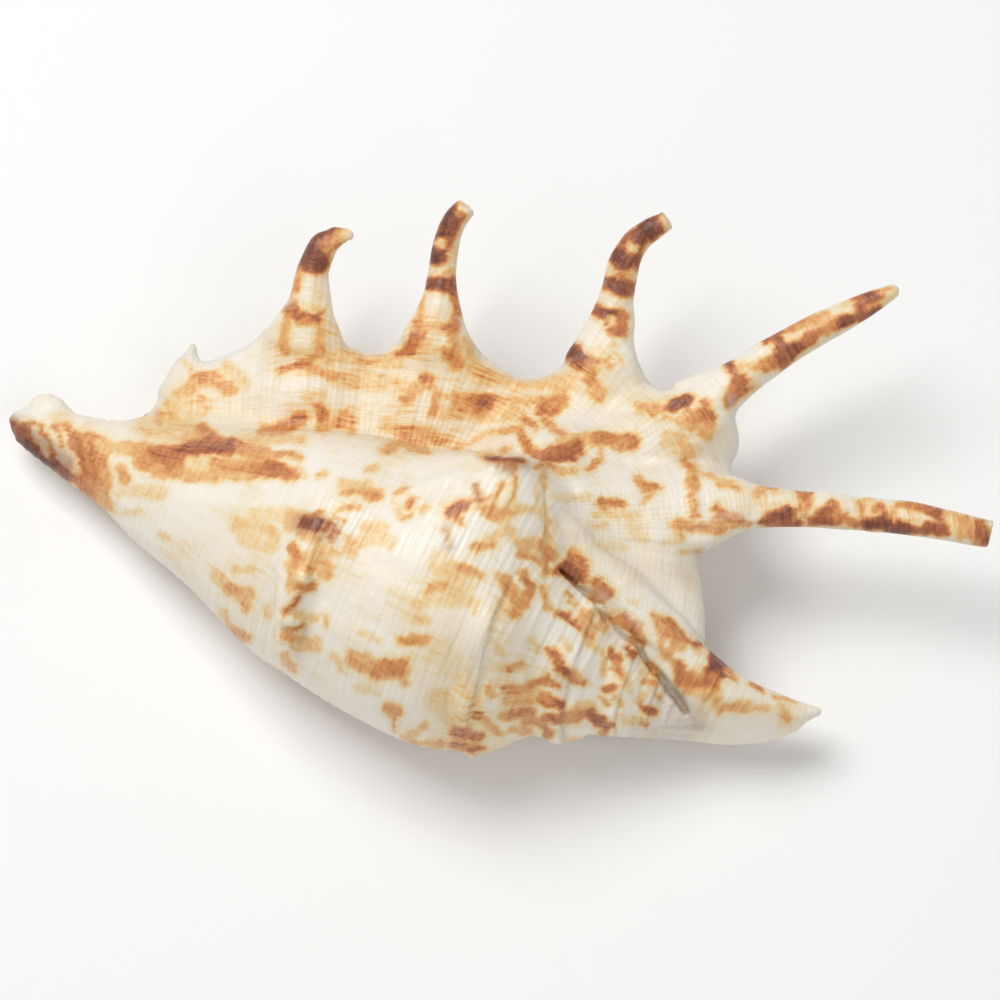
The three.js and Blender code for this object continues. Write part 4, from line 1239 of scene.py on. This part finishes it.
def shell_bump(n, grain, outside):
    growth_share = n.math("MULTIPLY_ADD", grain.on_lip, 0.45, 0.35)
    uneven = n.blend(growth_share, grain.threads, grain.growth)
    bump = n.add("ShaderNodeBump")
    bump.inputs["Distance"].default_value = BUMP_HEIGHT
    n.feed(bump.inputs["Strength"], n.times(outside, 0.5))
    n.feed(bump.inputs["Height"], n.math("MULTIPLY_ADD", grain.lines, 0.16, uneven))
    return bump.outputs["Normal"]


def new_material(name):
    material = bpy.data.materials.new(name)
    material.use_nodes = True
    return material, material.node_tree.nodes["Principled BSDF"].inputs


def shell_material():
    material, inputs = new_material("shell")
    n = Nodes(material.node_tree)
    grain = Grain(n)
    glazed = n.attribute("glazed")
    outside = n.math("SUBTRACT", 1.0, glazed)
    n.feed(inputs["Base Color"], shell_colour(n, grain, outside, glazed))
    n.feed(inputs["Roughness"], n.blend(glazed, n.blend(grain.fine, 0.3, 0.5), 0.22))
    n.feed(inputs["Normal"], shell_bump(n, grain, outside))
    return material


def floor_material():
    material, inputs = new_material("floor")
    inputs["Base Color"].default_value = FLOOR_COLOUR
    inputs["Roughness"].default_value = 0.9
    return material


shell.data.materials.append(shell_material())

# The stage.


def add_floor():
    mesh = bpy.data.meshes.new("floor")
    corners = [(-FLOOR, -FLOOR, 0), (FLOOR, -FLOOR, 0), (FLOOR, FLOOR, 0), (-FLOOR, FLOOR, 0)]
    mesh.from_pydata(corners, [], [(0, 1, 2, 3)])
    floor = bpy.data.objects.new("floor", mesh)
    bpy.context.scene.collection.objects.link(floor)
    mesh.materials.append(floor_material())


def place_object(name, data, place, direction):
    """An object at a place, with its -Z axis along a direction and its Y axis up."""
    thing = bpy.data.objects.new(name, data)
    thing.location = place
    thing.rotation_euler = Vector(direction).to_track_quat("-Z", "Y").to_euler()
    bpy.context.scene.collection.objects.link(thing)
    return thing


def add_light(name, place, size, power):
    data = bpy.data.lights.new(name, "AREA")
    data.size = size
    data.energy = power
    place_object(name, data, place, -np.array(place))


def add_world():
    world = bpy.data.worlds.new("world")
    bpy.context.scene.world = world
    world.use_nodes = True
    inputs = world.node_tree.nodes["Background"].inputs
    inputs["Color"].default_value = (1, 1, 1, 1)
    inputs["Strength"].default_value = WORLD_LIGHT


def add_camera():
    data = bpy.data.cameras.new("camera")
    data.lens = CAMERA_LENS
    data.sensor_width = SENSOR
    data.clip_start, data.clip_end = 0.01, 20
    place = (CAMERA_AT + SHIFT - FORWARD * CAMERA_DISTANCE) * MM
    bpy.context.scene.camera = place_object("camera", data, place, FORWARD)


bpy.context.scene.view_settings.view_transform = "Standard"
add_floor()
for light in LIGHTS:
    add_light(*light)
add_world()
add_camera()
